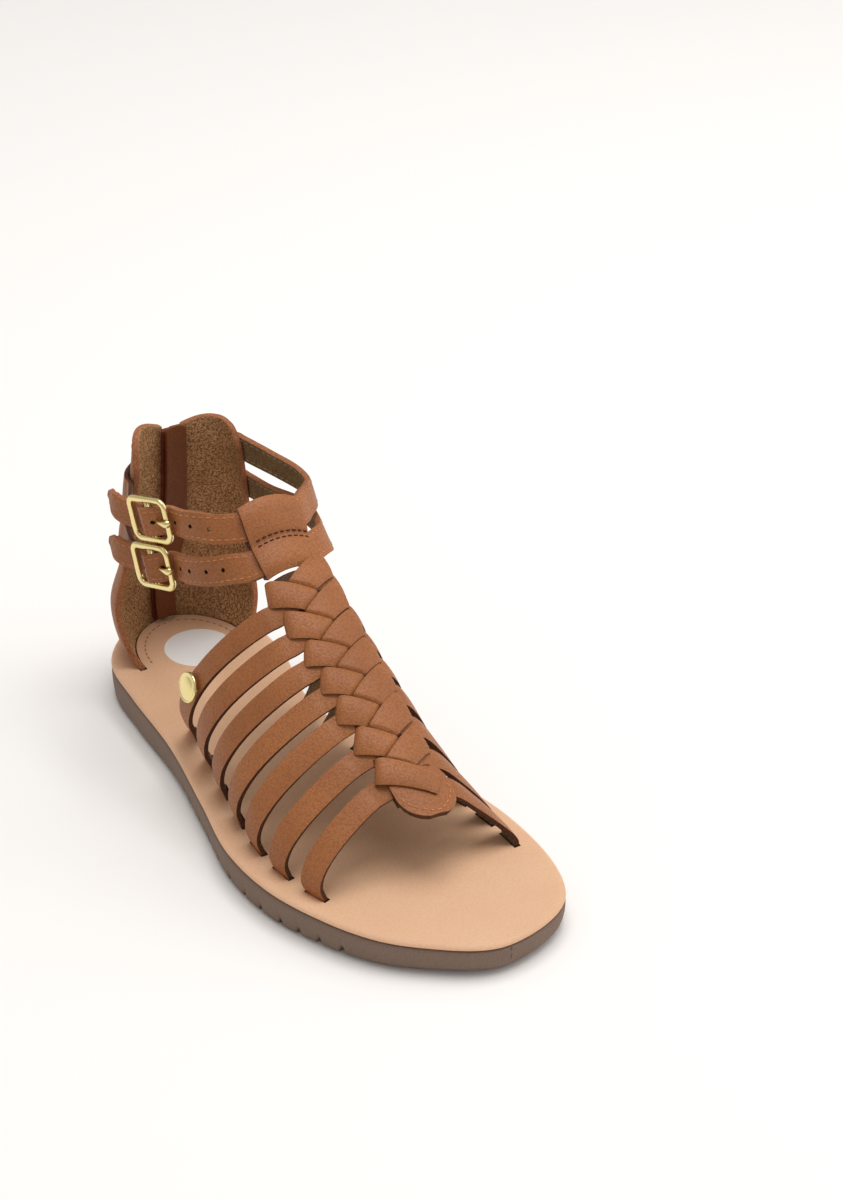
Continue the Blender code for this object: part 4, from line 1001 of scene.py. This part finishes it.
def sampled(rows, pitch, first, last):
    """Rows at an even pitch between two lengths along a strip; last counts from the end."""
    runs = [0.0]
    for a, b in zip(rows, rows[1:]):
        runs.append(runs[-1] + (b[0] - a[0]).length)
    stop = runs[-1] - last
    found = []
    run = first
    while run < stop:
        spot = min(int(np.searchsorted(runs, run)), len(rows) - 1)
        a, b = rows[max(spot - 1, 0)], rows[spot]
        span = max(runs[spot] - runs[max(spot - 1, 0)], 1e-9)
        share = 1.0 - (runs[spot] - run) / span
        found.append([x.lerp(y, share) for x, y in zip(a, b)] + [(b[0] - a[0]).normalized()])
        run += pitch
    return found


def seam(path, pitch, first, last, length, width):
    """Frames of stitches along a path of points with across and outward directions."""
    frames = []
    for point, cross, out, run in sampled(path, pitch, first, last):
        side = out.cross(run).normalized()
        up = run.cross(side).normalized()
        size = Matrix.Diagonal((length, width, width * 0.8, 1.0))
        frames.append(axes_frame(point, run, side, up) @ size)
    return frames


def rounded_blocks(frames, offset):
    """One bmesh with a rounded unit block at each of many frames."""
    block = bmesh.new()
    bmesh.ops.create_cube(block, size=1.0)
    bmesh.ops.bevel(block, geom=list(block.edges), offset=offset, segments=1, profile=0.5,
                    material=-1, affect='EDGES')
    pattern = mesh_of("block", block)
    body = bmesh.new()
    for place in frames:
        made = len(body.verts)
        body.from_mesh(pattern)
        body.verts.ensure_lookup_table()
        bmesh.ops.transform(body, matrix=place, verts=body.verts[made:])
    bpy.data.meshes.remove(pattern)
    body.normal_update()
    bmesh.ops.recalc_face_normals(body, faces=body.faces)
    return body


def sew(name, frames, finish):
    """One piece of stitches, one to each frame."""
    return finish_piece(name, rounded_blocks(frames, STITCH_ROUND), [finish])


# Sole


def side_profile(station, groove):
    """Corners of one side of the outsole: inset from the outline and height."""
    low = tread_height(station) + groove
    top = sole_top(station)
    out, inn = sole_edges(station)
    share = min(1.0, (out - inn) / 2.0 / 0.012)
    tall = top - low
    return [
        (EDGE_TUCK * share, low, 1.0), (EDGE_TUCK * 0.62 * share, low + 0.0003, 0.7),
        (EDGE_TUCK * 0.38 * share, low + EDGE_RISE * 0.7, 0.4),
        (EDGE_TUCK * 0.24 * share, low + EDGE_RISE * 1.3, 0.24),
        (0.0001, low + tall * 0.55, 0.0), (0.0, top - tall * 0.25, 0.0),
        (0.0001, top - 0.0004, 0.0), (0.0006 * share, top, 0.0),
    ]


def sole_ring_at(station, groove):
    out, inn = sole_edges(station)
    along = station * LENGTH
    tread = EDGE_TUCK + station * (LENGTH - 2.0 * EDGE_TUCK)
    ring = []
    for inset, up, back in side_profile(station, groove):
        ring.append(at(along + (tread - along) * back, out - inset, up))
    for inset, up, back in reversed(side_profile(station, groove)):
        ring.append(at(along + (tread - along) * back, inn + inset, up))
    return ring


# Section of a groove: share of its half width and of its depth
GROOVE_SHAPE = ((-1.0, 0.0), (-0.75, 0.35), (-0.12, 1.0), (0.12, 1.0), (0.75, 0.35), (1.0, 0.0))


def even_stations(count, grooves):
    """Stations closer together at the round ends, with six for each groove."""
    plain = [(1.0 - math.cos(math.pi * k / count)) / 2.0 for k in range(1, count)]
    plain = [0.0, 0.00015, 0.0005, 0.0012, 0.0025] + plain[1:-1]
    plain += [0.9975, 0.9988, 0.9995, 0.99985, 1.0]
    half = GROOVE_WIDTH / LENGTH / 2.0
    rows = [(s, 0.0) for s in plain if all(abs(s - g) > half * 1.4 for g in grooves)]
    for groove in grooves:
        for part, depth in GROOVE_SHAPE:
            rows.append((groove + part * half, depth * GROOVE_DEPTH))
    return sorted(rows)


def make_outsole():
    body = bmesh.new()
    loft(body, [sole_ring_at(s, g) for s, g in even_stations(150, GROOVES)])
    return finish_piece("outsole_moulding", body, [RUBBER], "outsole")


def bed_ring_at(station):
    out, inn = sole_edges(station)
    half = (out - inn) / 2.0
    low = sole_top(station) + CLEARANCE
    curl = min(FOOTBED_CURL, half * 0.5)
    along = station * LENGTH
    inner = FOOTBED_CURL + station * (LENGTH - 2.0 * FOOTBED_CURL)
    profile = [(0.0005, 0.0, 0.2), (0.0001, 0.18, 0.04), (0.0, 0.40, 0.0), (0.0002, 0.62, 0.08),
               (0.0006, 0.84, 0.23), (0.0011, 0.96, 0.42), (0.0017, 1.0, 0.65),
               (FOOTBED_CURL, 1.0, 1.0)]
    ring = []
    for side, edge in ((1, out), (-1, inn)):
        part = []
        for inset, share, back in profile:
            step = inset / FOOTBED_CURL * curl
            part.append(at(along + (inner - along) * back, edge - side * step,
                           low + share * FOOTBED_THICK))
        ring += part if side > 0 else part[::-1]
    return ring


def add_block(body, middle, x, y, size):
    made = bmesh.ops.create_cube(body, size=1.0)
    place = axes_frame(middle, x * size[0], y * size[1], Vector((0.0, 0.0, size[2])))
    bmesh.ops.transform(body, matrix=place, verts=made["verts"])


def make_footbed():
    body = bmesh.new()
    loft(body, [bed_ring_at(s) for s, g in even_stations(140, ())])
    bed = finish_piece("footbed_cover", body, [FOOTBED], "footbed")
    cutter = bmesh.new()
    for side, slot, top in STRAPS:
        centres, crosses, normals = strap_lines(side, slot, slot, 9)
        middle = centres[1] - normals[0] * STRAP_THICK / 2.0
        add_block(cutter, middle, crosses[0], normals[0],
                  (STRAP_WIDTH + SLOT_ROOM, STRAP_THICK + SLOT_ROOM, FOOTBED_THICK * 4.0))
    for side in (1, -1):
        groove_rings = []
        for k in range(33):
            ring = []
            for lift, up in ((-1, -0.02), (1, -0.02), (1, 0.04), (-1, 0.04)):
                level = COUNTER_SEAT * LENGTH
                first = zip_angle(level, ZIP_GAP / 2.0 - 0.0006)
                angle = first + (91.2 - first) * k / 32.0
                point, normal = on_counter(angle, level, side,
                                           lift * (COUNTER_THICK / 2.0 + CLEARANCE))
                ring.append(Vector((point.x, point.y, level + up * LENGTH)))
            groove_rings.append(ring)
        loft(cutter, groove_rings)
    # The walls of the slots and the heel groove take the painted shade
    return cut_away(bed, cutter, SLOT_SHADE)


def make_footbed_print():
    """Plain white disc printed on the heel of the footbed."""
    slope = (footbed_top(0.5) - footbed_top(0.0)) / (0.5 * LENGTH)
    body = bmesh.new()
    turn = Matrix.Rotation(-math.atan(slope), 4, 'X')
    middle = at(PRINT_ALONG, PRINT_OUT, footbed_top(PRINT_ALONG / LENGTH) - 0.00003)
    cylinder(body, PRINT_RADIUS, PRINT_THICK, Matrix.Translation(middle) @ turn, 72)
    disc = finish_piece("footbed_disc", body, [WHITE])
    for polygon in disc.data.polygons:
        polygon.use_smooth = len(polygon.vertices) == 4
    return disc


def make_seat_stitches():
    """Row of stitches on the footbed round the inside of the heel."""
    path = []
    for side, angles in ((1, range(86, -1, -2)), (-1, range(2, 87, 2))):
        for angle in angles:
            point, normal = on_counter(angle, COUNTER_SEAT * LENGTH, side, -SEAT_SEAM_IN)
            along = foot(point)[0]
            point.z = footbed_top(along / LENGTH) + 0.00005
            path.append((point, normal, Vector((0.0, 0.0, 1.0))))
    return sew("seat_stitches", seam(path, *SEAT_SEAM), BED_THREAD)


# Straps and braid


def make_leg_straps():
    jobs = []
    for side, slot, top in STRAPS:
        rows = refined(list(zip(*strap_lines(side, slot, top, 9))), 5)
        halves = [STRAP_WIDTH / 2.0] * len(rows)
        jobs.append((along_strip(rows, halves, LEG_CROWN), len(rows) - 1, 10))
    return wall("leg_straps", jobs, STRAP_THICK, STRAP_LEATHER,
                "upper", 0.0005)


def soft_step(value):
    value = min(1.0, max(0.0, value))
    return value * value * (3.0 - 2.0 * value)


def woven_strip(row, side):
    """place() for one strip of the braid, pillowed across and tucked under its neighbour."""
    lie = BRAID_LAY[side]
    half = BRAID_STRIP / 2.0
    first = 1 if side < 0 else 3
    ends = [share * LENGTH for share in BRAID_TABLE[row][first:first + 2]]

    def place(s, t):
        across = 2.0 * t - 1.0
        end = ends[0] + (ends[1] - ends[0]) * t
        off = (lie["start"] + lie["shear"] * across) * (1.0 - s) + end * s
        fold = max(0.0, (s - FOLD_START) / (1.0 - FOLD_START))
        along = strip_middle(row, side, off) + half * across * (1.0 - FOLD_NARROW * fold ** 2)
        rise = (BRAID_CROWN + EXTRA_CROWN) * (1.0 - abs(across) ** PILLOW_POWER)
        over = row if side < 0 else row + 1
        edge = strip_middle(over, -side, off) - BRAID_STRIP / 2.0
        sunk = soft_step((along - edge + SINK_AHEAD) / SINK_RUN)
        if side > 0 and row == len(BRAID_TABLE) - 2:
            rise += LAST_STRIP_RISE
        else:
            rise -= (BRAID_SINK + EXTRA_SINK) * sunk
            rise -= INNER_DROOP * soft_step((0.10 - s) / 0.10)
        rise -= FOLD_DEEP * (1.0 - math.sqrt(1.0 - (FOLD_TURN * fold) ** 2))
        return crown_place(along, off, rise)

    return place


def make_braid():
    jobs = []
    for row in range(len(BRAID_TABLE) - 1):
        for side in (-1, 1):
            jobs.append((woven_strip(row, side), 48, 16))
    return wall("braid_strips", jobs, BRAID_THICK, STRAP_LEATHER,
                "upper", 0.0005)


def make_backing():
    # The backing's outer face takes the dark edge colour as painted shade, seen in the gaps between
    # the braid's strips
    return wall("braid_backing", [(backing_place, 48, 10)], BACKING_THICK,
                [CUT_EDGE_AND_SHADE, FLESH_SIDE, CUT_EDGE_AND_SHADE], "upper", 0.0004)


def make_toe_tab():
    return wall("toe_tab", [(toe_tab_place, 36, 24)], BRAID_THICK, STRAP_LEATHER,
                "upper", 0.0005)


def make_tab_stitches():
    """Stitches that follow the toe tab's round edge."""
    path = []
    inset = 0.0014
    for k in range(61):
        turn = math.pi * (k / 60.0)
        s = 0.42 + 0.52 * math.sin(turn) ** 0.9
        t = 0.5 - 0.5 * math.cos(turn)
        t = inset / (2.0 * TOE_TAB_HALF) + t * (1.0 - inset / TOE_TAB_HALF)
        point, normal = toe_tab_place(min(s, 0.93), t)
        path.append((point + normal * 0.00005, normal, normal))
    return sew("toe_tab_stitches", seam(path, *TOE_SEAM), THREAD)


# Instep tab


def tab_strip(rows):
    """Rows through a tunnel of the tab, as rings for a cutter."""
    rings = []
    for centre, cross, out in rows:
        wide = cross * (ANKLE_WIDTH / 2.0 + TAB_CLEAR)
        deep = out * (ANKLE_THICK / 2.0 + TAB_CLEAR)
        rings.append([centre - wide - deep, centre + wide - deep, centre + wide + deep,
                      centre - wide + deep])
    return rings


def make_instep_tab():
    tab = wall("instep_wrap", [(tab_place, 48, 20)], tab_depth(), STRAP_LEATHER,
               "instep_tab", 0.0006)
    cutter = bmesh.new()
    for name in ("upper", "lower"):
        points, crosses, outs, bar = ankle_curve(name, ANKLE_STEPS)
        last = bar - (BUCKLE_STEP + 1) * ANKLE_STEPS
        inside = range(last - 3 * ANKLE_STEPS - 7, last + 8)
        loft(cutter, tab_strip([(points[k], crosses[k], outs[k]) for k in inside]))
    return cut_away(tab, cutter, CUT_EDGE_AND_SHADE)


def make_tab_seam():
    """Double row of dark stitches across the tab between its tunnels."""
    frames = []
    for along in (SEAM_STATION * LENGTH - 0.0006, SEAM_STATION * LENGTH + 0.0007):
        path = []
        for k in range(41):
            off = TAB_MIDDLE + TAB_HALF * 0.93 * (k / 20.0 - 1.0)
            point, normal = crown_place(along, off, tab_rise(along) + 0.00004)
            path.append((point, normal, normal))
        frames += seam(path, *TAB_SEAM)
    return sew("instep_seam", frames, DARK_THREAD)


# Ankle straps


def ankle_line(name):
    """Rows of an ankle strap with its weave through the buckle, and its half widths."""
    points, crosses, outs, bar = ankle_curve(name, ANKLE_STEPS)
    middle, ahead, across, out = buckle_place(name)
    rows, halves = [], []
    for k, point in enumerate(points):
        centre = point.copy()
        away = centre - middle
        run = away.dot(ahead)
        if abs(k - bar) < 3 * ANKLE_STEPS and abs(run) < WEAVE[-1][0]:
            flat = min(1.0, max(0.0, (WEAVE_FLAT - abs(run)) / WEAVE_EASE))
            centre += out * (column(WEAVE, 1, abs(run)) - away.dot(out) * flat)
        rows.append((centre, crosses[k], outs[k]))
    fine = refined(rows, 2)
    for k in range(len(fine)):
        left = (len(fine) - 1 - k) / 2.0
        halves.append(ANKLE_WIDTH / 2.0 * min(1.0, TIP_SHARE + left * TIP_GROWTH))
    return fine, halves


# Holes of each ankle strap, along it from the buckle's bar; the last is the prong's
HOLE_RUNS = {
    "upper": (-0.0036, 0.0123, 0.0192, 0.0260, 0.0043),
    "lower": (-0.0033, 0.0122, 0.0184, 0.0254, 0.0322, 0.0043),
}
HOLE_RADIUS = 0.00068
HOLE_DEPTH = 0.006


def at_run(rows, middle, ahead, run):
    """Row nearest to a length along the strap from the buckle's bar."""
    bar = min(range(len(rows)), key=lambda k: (rows[k][0] - middle).length)
    step = -1 if run > 0 else 1
    spot, gone = bar, 0.0
    while gone < abs(run) and 0 < spot < len(rows) - 1:
        gone += (rows[spot + step][0] - rows[spot][0]).length
        spot += step
    return rows[spot]


def make_ankle_strap(name):
    rows, halves = ankle_line(name)
    middle, ahead, across, out = buckle_place(name)
    place = along_strip(rows, halves, 0.00015, ANKLE_THICK / 2.0 - 0.00015)
    strap = wall("ankle_band_" + name, [(place, len(rows) - 1, 8)], ANKLE_THICK,
                 [TAN, FLESH_SIDE, PALE_EDGE], "ankle_strap_" + name, 0.0004, 2)
    cutter = bmesh.new()
    for run in HOLE_RUNS[name]:
        centre, cross, outward = at_run(rows, middle, ahead, run)
        turn = outward.to_track_quat('Z', 'Y').to_matrix().to_4x4()
        cylinder(cutter, HOLE_RADIUS, HOLE_DEPTH, Matrix.Translation(centre) @ turn, 16)
    # The walls of the holes take the painted shade
    cut_away(strap, cutter, SLOT_SHADE)
    frames, under = [], []
    for side in (1.0, -1.0):
        lifted, sunk = [], []
        for (centre, cross, outward), half in zip(rows, halves):
            edge = cross * side * max(half - EDGE_TO_SEAM, 0.0)
            top = outward * (ANKLE_THICK / 2.0 - STITCH_DEEP)
            lifted.append((centre + edge + top, cross, outward))
            sunk.append((centre + edge - outward * (ANKLE_THICK / 2.0), cross, -outward))
        frames += seam(lifted, *ANKLE_SEAM)
        under += seam(sunk, *UNDER_SEAM)
    sew("ankle_stitches_" + name, frames, THREAD)
    sew("ankle_under_stitches_" + name, under, PALE_THREAD)


def make_stay(name):
    table = ANKLE_TABLES[name]
    middle, ahead, across, out = buckle_place(name)
    lift = COUNTER_THICK / 2.0 + LAP_CLEAR + STAY_THICK / 2.0
    marks = []
    for angle in STAY_ANGLES:
        up = table["height"][1] * LENGTH
        point, normal = on_counter(angle, up, 1, lift)
        marks.append((*point, *counter_rise(angle, up, 1)))
    for a, o, u in table["stay"]:
        marks.append((*at(a * LENGTH, o * LENGTH, u * LENGTH), *across))
    for run, drop in STAY_END:
        marks.append((*(middle + ahead * run + out * drop), *across))
    marks = through(marks, 6)
    points = [Vector(m[:3]) for m in marks]
    rows = []
    for k, point in enumerate(points):
        run = around(points, k).normalized()
        wide = square_to(Vector(marks[k][3:]), run)
        face = run.cross(wide).normalized()
        if face.dot(at(0.0, 1.0, 0.0)) - face.dot(at(0.0, 0.0, 0.0)) < 0 and k > 6:
            face.negate()
        rows.append((point, wide, face))
    halves = [ANKLE_WIDTH / 2.0 - CLEARANCE] * len(rows)
    place = along_strip(rows, halves, 0.0001, STAY_THICK / 2.0 - 0.0001)
    wall("stay_band_" + name, [(place, len(rows) - 1, 6)], STAY_THICK,
         [TAN, ELASTIC, CUT_EDGE_AND_SHADE], "buckle_stay_" + name, 0.0003, 2)


# Buckles


def frame_section(a, b):
    """Rounded section of the frame's wire between its outer and inner outline."""
    middle, half = a.lerp(b, 0.5), (b - a) / 2.0
    ring = []
    for k in range(12):
        turn = math.tau * (k + 0.5) / 12.0
        x, z = math.cos(turn), math.sin(turn)
        stretch = (abs(x) ** 3.2 + abs(z) ** 3.2) ** (-1.0 / 3.2)
        rise = Vector((0.0, 0.0, z * stretch * BUCKLE_DEEP / 2.0))
        ring.append(middle - half * x * stretch + rise)
    return ring


def make_buckle(name):
    middle, ahead, across, out = buckle_place(name)
    place = axes_frame(middle, ahead, across, out)
    outlines = []
    for grow in (0.0, -BUCKLE_WIRE):
        x, y = BUCKLE_LENGTH / 2.0 + grow, BUCKLE_HEIGHT / 2.0 + grow
        corner = max(BUCKLE_CORNER + grow, 0.0008)
        ring = []
        for cx, cy, first in ((1, 1, 0), (-1, 1, 90), (-1, -1, 180), (1, -1, 270)):
            for k in range(9):
                turn = math.radians(first + 11.25 * k)
                ring.append(Vector((cx * (x - corner) + corner * math.cos(turn),
                                    cy * (y - corner) + corner * math.sin(turn), 0.0)))
        outlines.append(ring)
    rings = [[place @ corner for corner in frame_section(a, b)] for a, b in zip(*outlines)]
    body = bmesh.new()
    loft(body, rings, True)
    upright = axes_frame(middle, across, out, ahead) @ Matrix.Rotation(math.pi / 2.0, 4, 'Y')
    cylinder(body, BAR_RADIUS, BUCKLE_HEIGHT - BUCKLE_WIRE, upright)
    finish_piece("buckle_" + name, body, [GOLD], "buckle_frame_" + name)


# Prong from the bar: along the strap, off the bar's middle, and radius
PRONG_PATH = ((0.0006, -0.0008, 0.0006), (0.0018, 0.0000, 0.0006), (0.0040, 0.0008, 0.0006),
              (0.0062, 0.0014, 0.00065), (0.0078, 0.00165, 0.0008), (0.0090, 0.0016, 0.00095),
              (0.0096, 0.0008, 0.0009), (0.0097, 0.0003, 0.0006))


def make_prong(name):
    """Prong that rises through its hole and hooks over the frame's front side."""
    middle, ahead, across, out = buckle_place(name)
    line = through(PRONG_PATH, 4)
    rings = []
    for k, (run, rise, radius) in enumerate(line):
        step = around(line, k)
        heading = (ahead * step[0] + out * step[1]).normalized()
        up = across.cross(heading).normalized()
        centre = middle + ahead * run + out * rise
        turns = [math.tau * j / 12.0 for j in range(12)]
        rings.append([centre + (across * math.cos(t) * 1.25 + up * math.sin(t) * 0.85) * radius
                      for t in turns])
    body = bmesh.new()
    loft(body, rings)
    sleeve = axes_frame(middle, across, out, ahead) @ Matrix.Rotation(math.pi / 2.0, 4, 'Y')
    cylinder(body, BAR_RADIUS + SLEEVE_WALL, SLEEVE_WIDTH, sleeve)
    finish_piece("prong_" + name, body, [GOLD], "buckle_prong_" + name)


def make_disc():
    """Domed disc with a narrow rim on the rearmost lateral strap."""
    slot, top = LATERAL_STRAPS[0]
    centres, crosses, normals = strap_lines(1, slot, top, 9)
    spot, normal = centres[4].lerp(centres[5], 0.1), (normals[4] + normals[5]).normalized()
    profile = [(0.0, -0.0004), (DISC_POST_RADIUS, -0.0004), (DISC_POST_RADIUS, DISC_POST),
               (DISC_RADIUS * 0.94, DISC_POST), (DISC_RADIUS, DISC_POST + 0.0002),
               (DISC_RADIUS, DISC_POST + 0.0008), (DISC_RADIUS * 0.97, DISC_POST + 0.0011),
               (DISC_RADIUS * 0.90, DISC_POST + 0.0012), (DISC_RADIUS * 0.85, DISC_POST + 0.0010)]
    for k in range(1, 7):
        share = 0.85 * (1.0 - k / 6.0)
        dome = 0.0005 * (1.0 - (share / 0.85) ** 2)
        profile.append((DISC_RADIUS * share, DISC_POST + 0.0010 + dome))
    body = bmesh.new()
    verts = [body.verts.new((r, 0.0, h)) for r, h in profile]
    edges = [body.edges.new(pair) for pair in zip(verts, verts[1:])]
    bmesh.ops.spin(body, geom=verts + edges, cent=(0, 0, 0), axis=(0, 0, 1), angle=math.tau,
                   steps=48, use_merge=True)
    bmesh.ops.remove_doubles(body, verts=body.verts, dist=0.000005)
    body.normal_update()
    bmesh.ops.recalc_face_normals(body, faces=body.faces)
    side = square_to(crosses[4], normal)
    place = axes_frame(spot + normal * CLEARANCE, side, normal.cross(side), normal)
    bmesh.ops.transform(body, matrix=place, verts=body.verts)
    finish_piece("domed_disc", body, [GOLD], "strap_disc")


# Heel counter and zip


def make_quarters():
    for name, side in (("lateral", 1), ("medial", -1)):
        place = quarter_place(side, COUNTER_SEAT * LENGTH, COUNTER_THICK / 2.0)
        wall("heel_flap_" + name, [(place, 40, 44)], COUNTER_THICK,
             [COUNTER_TAN, SUEDE, PALE_EDGE], "quarter_" + name, 0.0007)
        top, zipside = [], []
        tall = flap_top(0.0, side) - 0.0065 - COUNTER_SEAT * LENGTH
        for k in range(41):
            s = k / 40.0
            for path, up, reach in ((top, flap_top(s, side) - TOP_TO_SEAM, s),
                                    (zipside, COUNTER_SEAT * LENGTH + 0.004 + tall * k / 40.0, 0.0)):
                first = zip_angle(up, ZIP_GAP / 2.0 + ZIP_TO_SEAM)
                point, normal = on_counter(first + (88.0 - first) * reach, up, side,
                                           COUNTER_THICK / 2.0)
                path.append((point, normal, normal))
        frames = seam(top, *FLAP_SEAM) + seam(zipside, *FLAP_SEAM)
        sew("flap_stitches_" + name, frames, THREAD)


# Teeth: size sideways, outwards and up, pitch, offset from the tape and to each side
TOOTH_SIZE = (0.0024, 0.0013, 0.0009)
TOOTH_PITCH = 0.0010
TOOTH_PROUD = 0.0007
TOOTH_SHIFT = 0.0005
TOOTH_ROUND = 0.2


def make_zip_tape():
    low = footbed_top(0.03) + CLEARANCE
    high = flap_top(0.0, 1) - 0.001
    lift = -(COUNTER_THICK / 2.0 + LAP_CLEAR)

    def place(s, t):
        off = ZIP_TAPE_HALF * (2.0 * t - 1.0)
        up = low + (high - low) * s
        side = 1 if off >= 0 else -1
        return on_counter(zip_angle(up, abs(off)), up, side, lift)

    wall("zip_tape_cloth", [(place, 60, 12)], ZIP_TAPE_THICK, [TAPE, TAPE, TAPE],
         "zip_tape", 0.0002, 2)
    frames = []
    side = Vector((1.0, 0.0, 0.0))
    count = int((high - low) / TOOTH_PITCH)
    for k in range(count):
        up = low + (high - low) * (k + 0.5) / count
        point, normal = on_counter(0.0, up, 1, 0.0)
        rise = side.cross(normal).normalized()
        turn = 1.0 if k % 2 else -1.0
        middle = point + normal * (lift + TOOTH_PROUD) + side * turn * TOOTH_SHIFT
        across, deep, tall = TOOTH_SIZE
        frames.append(axes_frame(middle, side * across, normal * deep, rise * tall))
    finish_piece("zip_teeth", rounded_blocks(frames, TOOTH_ROUND), [TEETH])


def make_zip_guard():
    low = footbed_top(0.03) + 0.001
    depth = COUNTER_THICK / 2.0 + ZIP_TAPE_THICK + 2.0 * LAP_CLEAR + 0.0002

    def place(s, t):
        crest = flap_top(0.0, -1) + 0.002
        corner = max(0.0, abs(2.0 * s - 1.0) - 0.4) / 0.6
        up = low + (crest - 0.0016 * corner ** 2 - low) * t
        angle = zip_angle(up, GUARD_WIDTH * abs(s - 0.5))
        return on_counter(angle, up, -1 if s >= 0.5 else 1, -depth)

    wall("guard_strip", [(place, 12, 50)], GUARD_THICK, [GUARD, GUARD, GUARD],
         "zip_guard", 0.0004)


def paint_zip_metal():
    for node in ("zip_slider", "zip_pull"):
        mesh = frame["nodes"][node].data
        mesh.materials.clear()
        mesh.materials.append(PAINT)


# Studio


# Lamps: place, size and power
LAMPS = (("key", (0.22, -0.05, 1.7), 1.1, 18.0), ("fill", (1.1, -0.5, 0.8), 1.2, 5.0))
LAMP_AIM = Vector((0.0, -0.08, 0.04))
SKY_STRENGTH = 0.50
CAMERA_SPOT = (-0.3177, -0.6483, 0.4622)
CAMERA_AIM = Vector((0.458, 0.726, -0.513))
CAMERA_LENS = 50.66


def make_studio():
    floor = bmesh.new()
    bmesh.ops.create_grid(floor, x_segments=1, y_segments=1, size=4.0)
    mesh = mesh_of("floor", floor)
    mesh.materials.append(new_finish("floor paper", Base_Color=tint(246, 243, 240), Roughness=0.9,
                                     Specular_IOR_Level=0.1))
    paper = new_object("floor", mesh)
    world = bpy.data.worlds.new("studio")
    world.use_nodes = True
    sky = world.node_tree.nodes["Background"]
    sky.inputs["Color"].default_value = (1.0, 0.99, 0.98, 1.0)
    sky.inputs["Strength"].default_value = SKY_STRENGTH
    bpy.context.scene.world = world
    for name, spot, size, power in LAMPS:
        lamp = bpy.data.lights.new(name, 'AREA')
        lamp.size = size
        lamp.energy = power
        holder = new_object(name, lamp)
        holder.location = spot
        aim = LAMP_AIM - Vector(spot)
        holder.rotation_euler = aim.to_track_quat('-Z', 'Y').to_euler()
    view = bpy.data.cameras.new("photo view")
    view.sensor_fit = 'VERTICAL'
    view.sensor_height = 24.0
    view.lens = CAMERA_LENS
    view.clip_start = 0.01
    camera = new_object("photo view", view)
    camera.location = CAMERA_SPOT
    camera.rotation_euler = CAMERA_AIM.to_track_quat('-Z', 'Y').to_euler()
    bpy.context.scene.camera = camera
    bpy.context.scene.view_settings.view_transform = 'Standard'


make_outsole()
make_footbed()
make_footbed_print()
make_seat_stitches()
make_leg_straps()
make_braid()
make_backing()
make_toe_tab()
make_tab_stitches()
make_instep_tab()
make_tab_seam()
for strap in ("upper", "lower"):
    make_ankle_strap(strap)
    make_stay(strap)
    make_buckle(strap)
    make_prong(strap)
make_disc()
make_quarters()
make_zip_tape()
make_zip_guard()
paint_zip_metal()
make_studio()
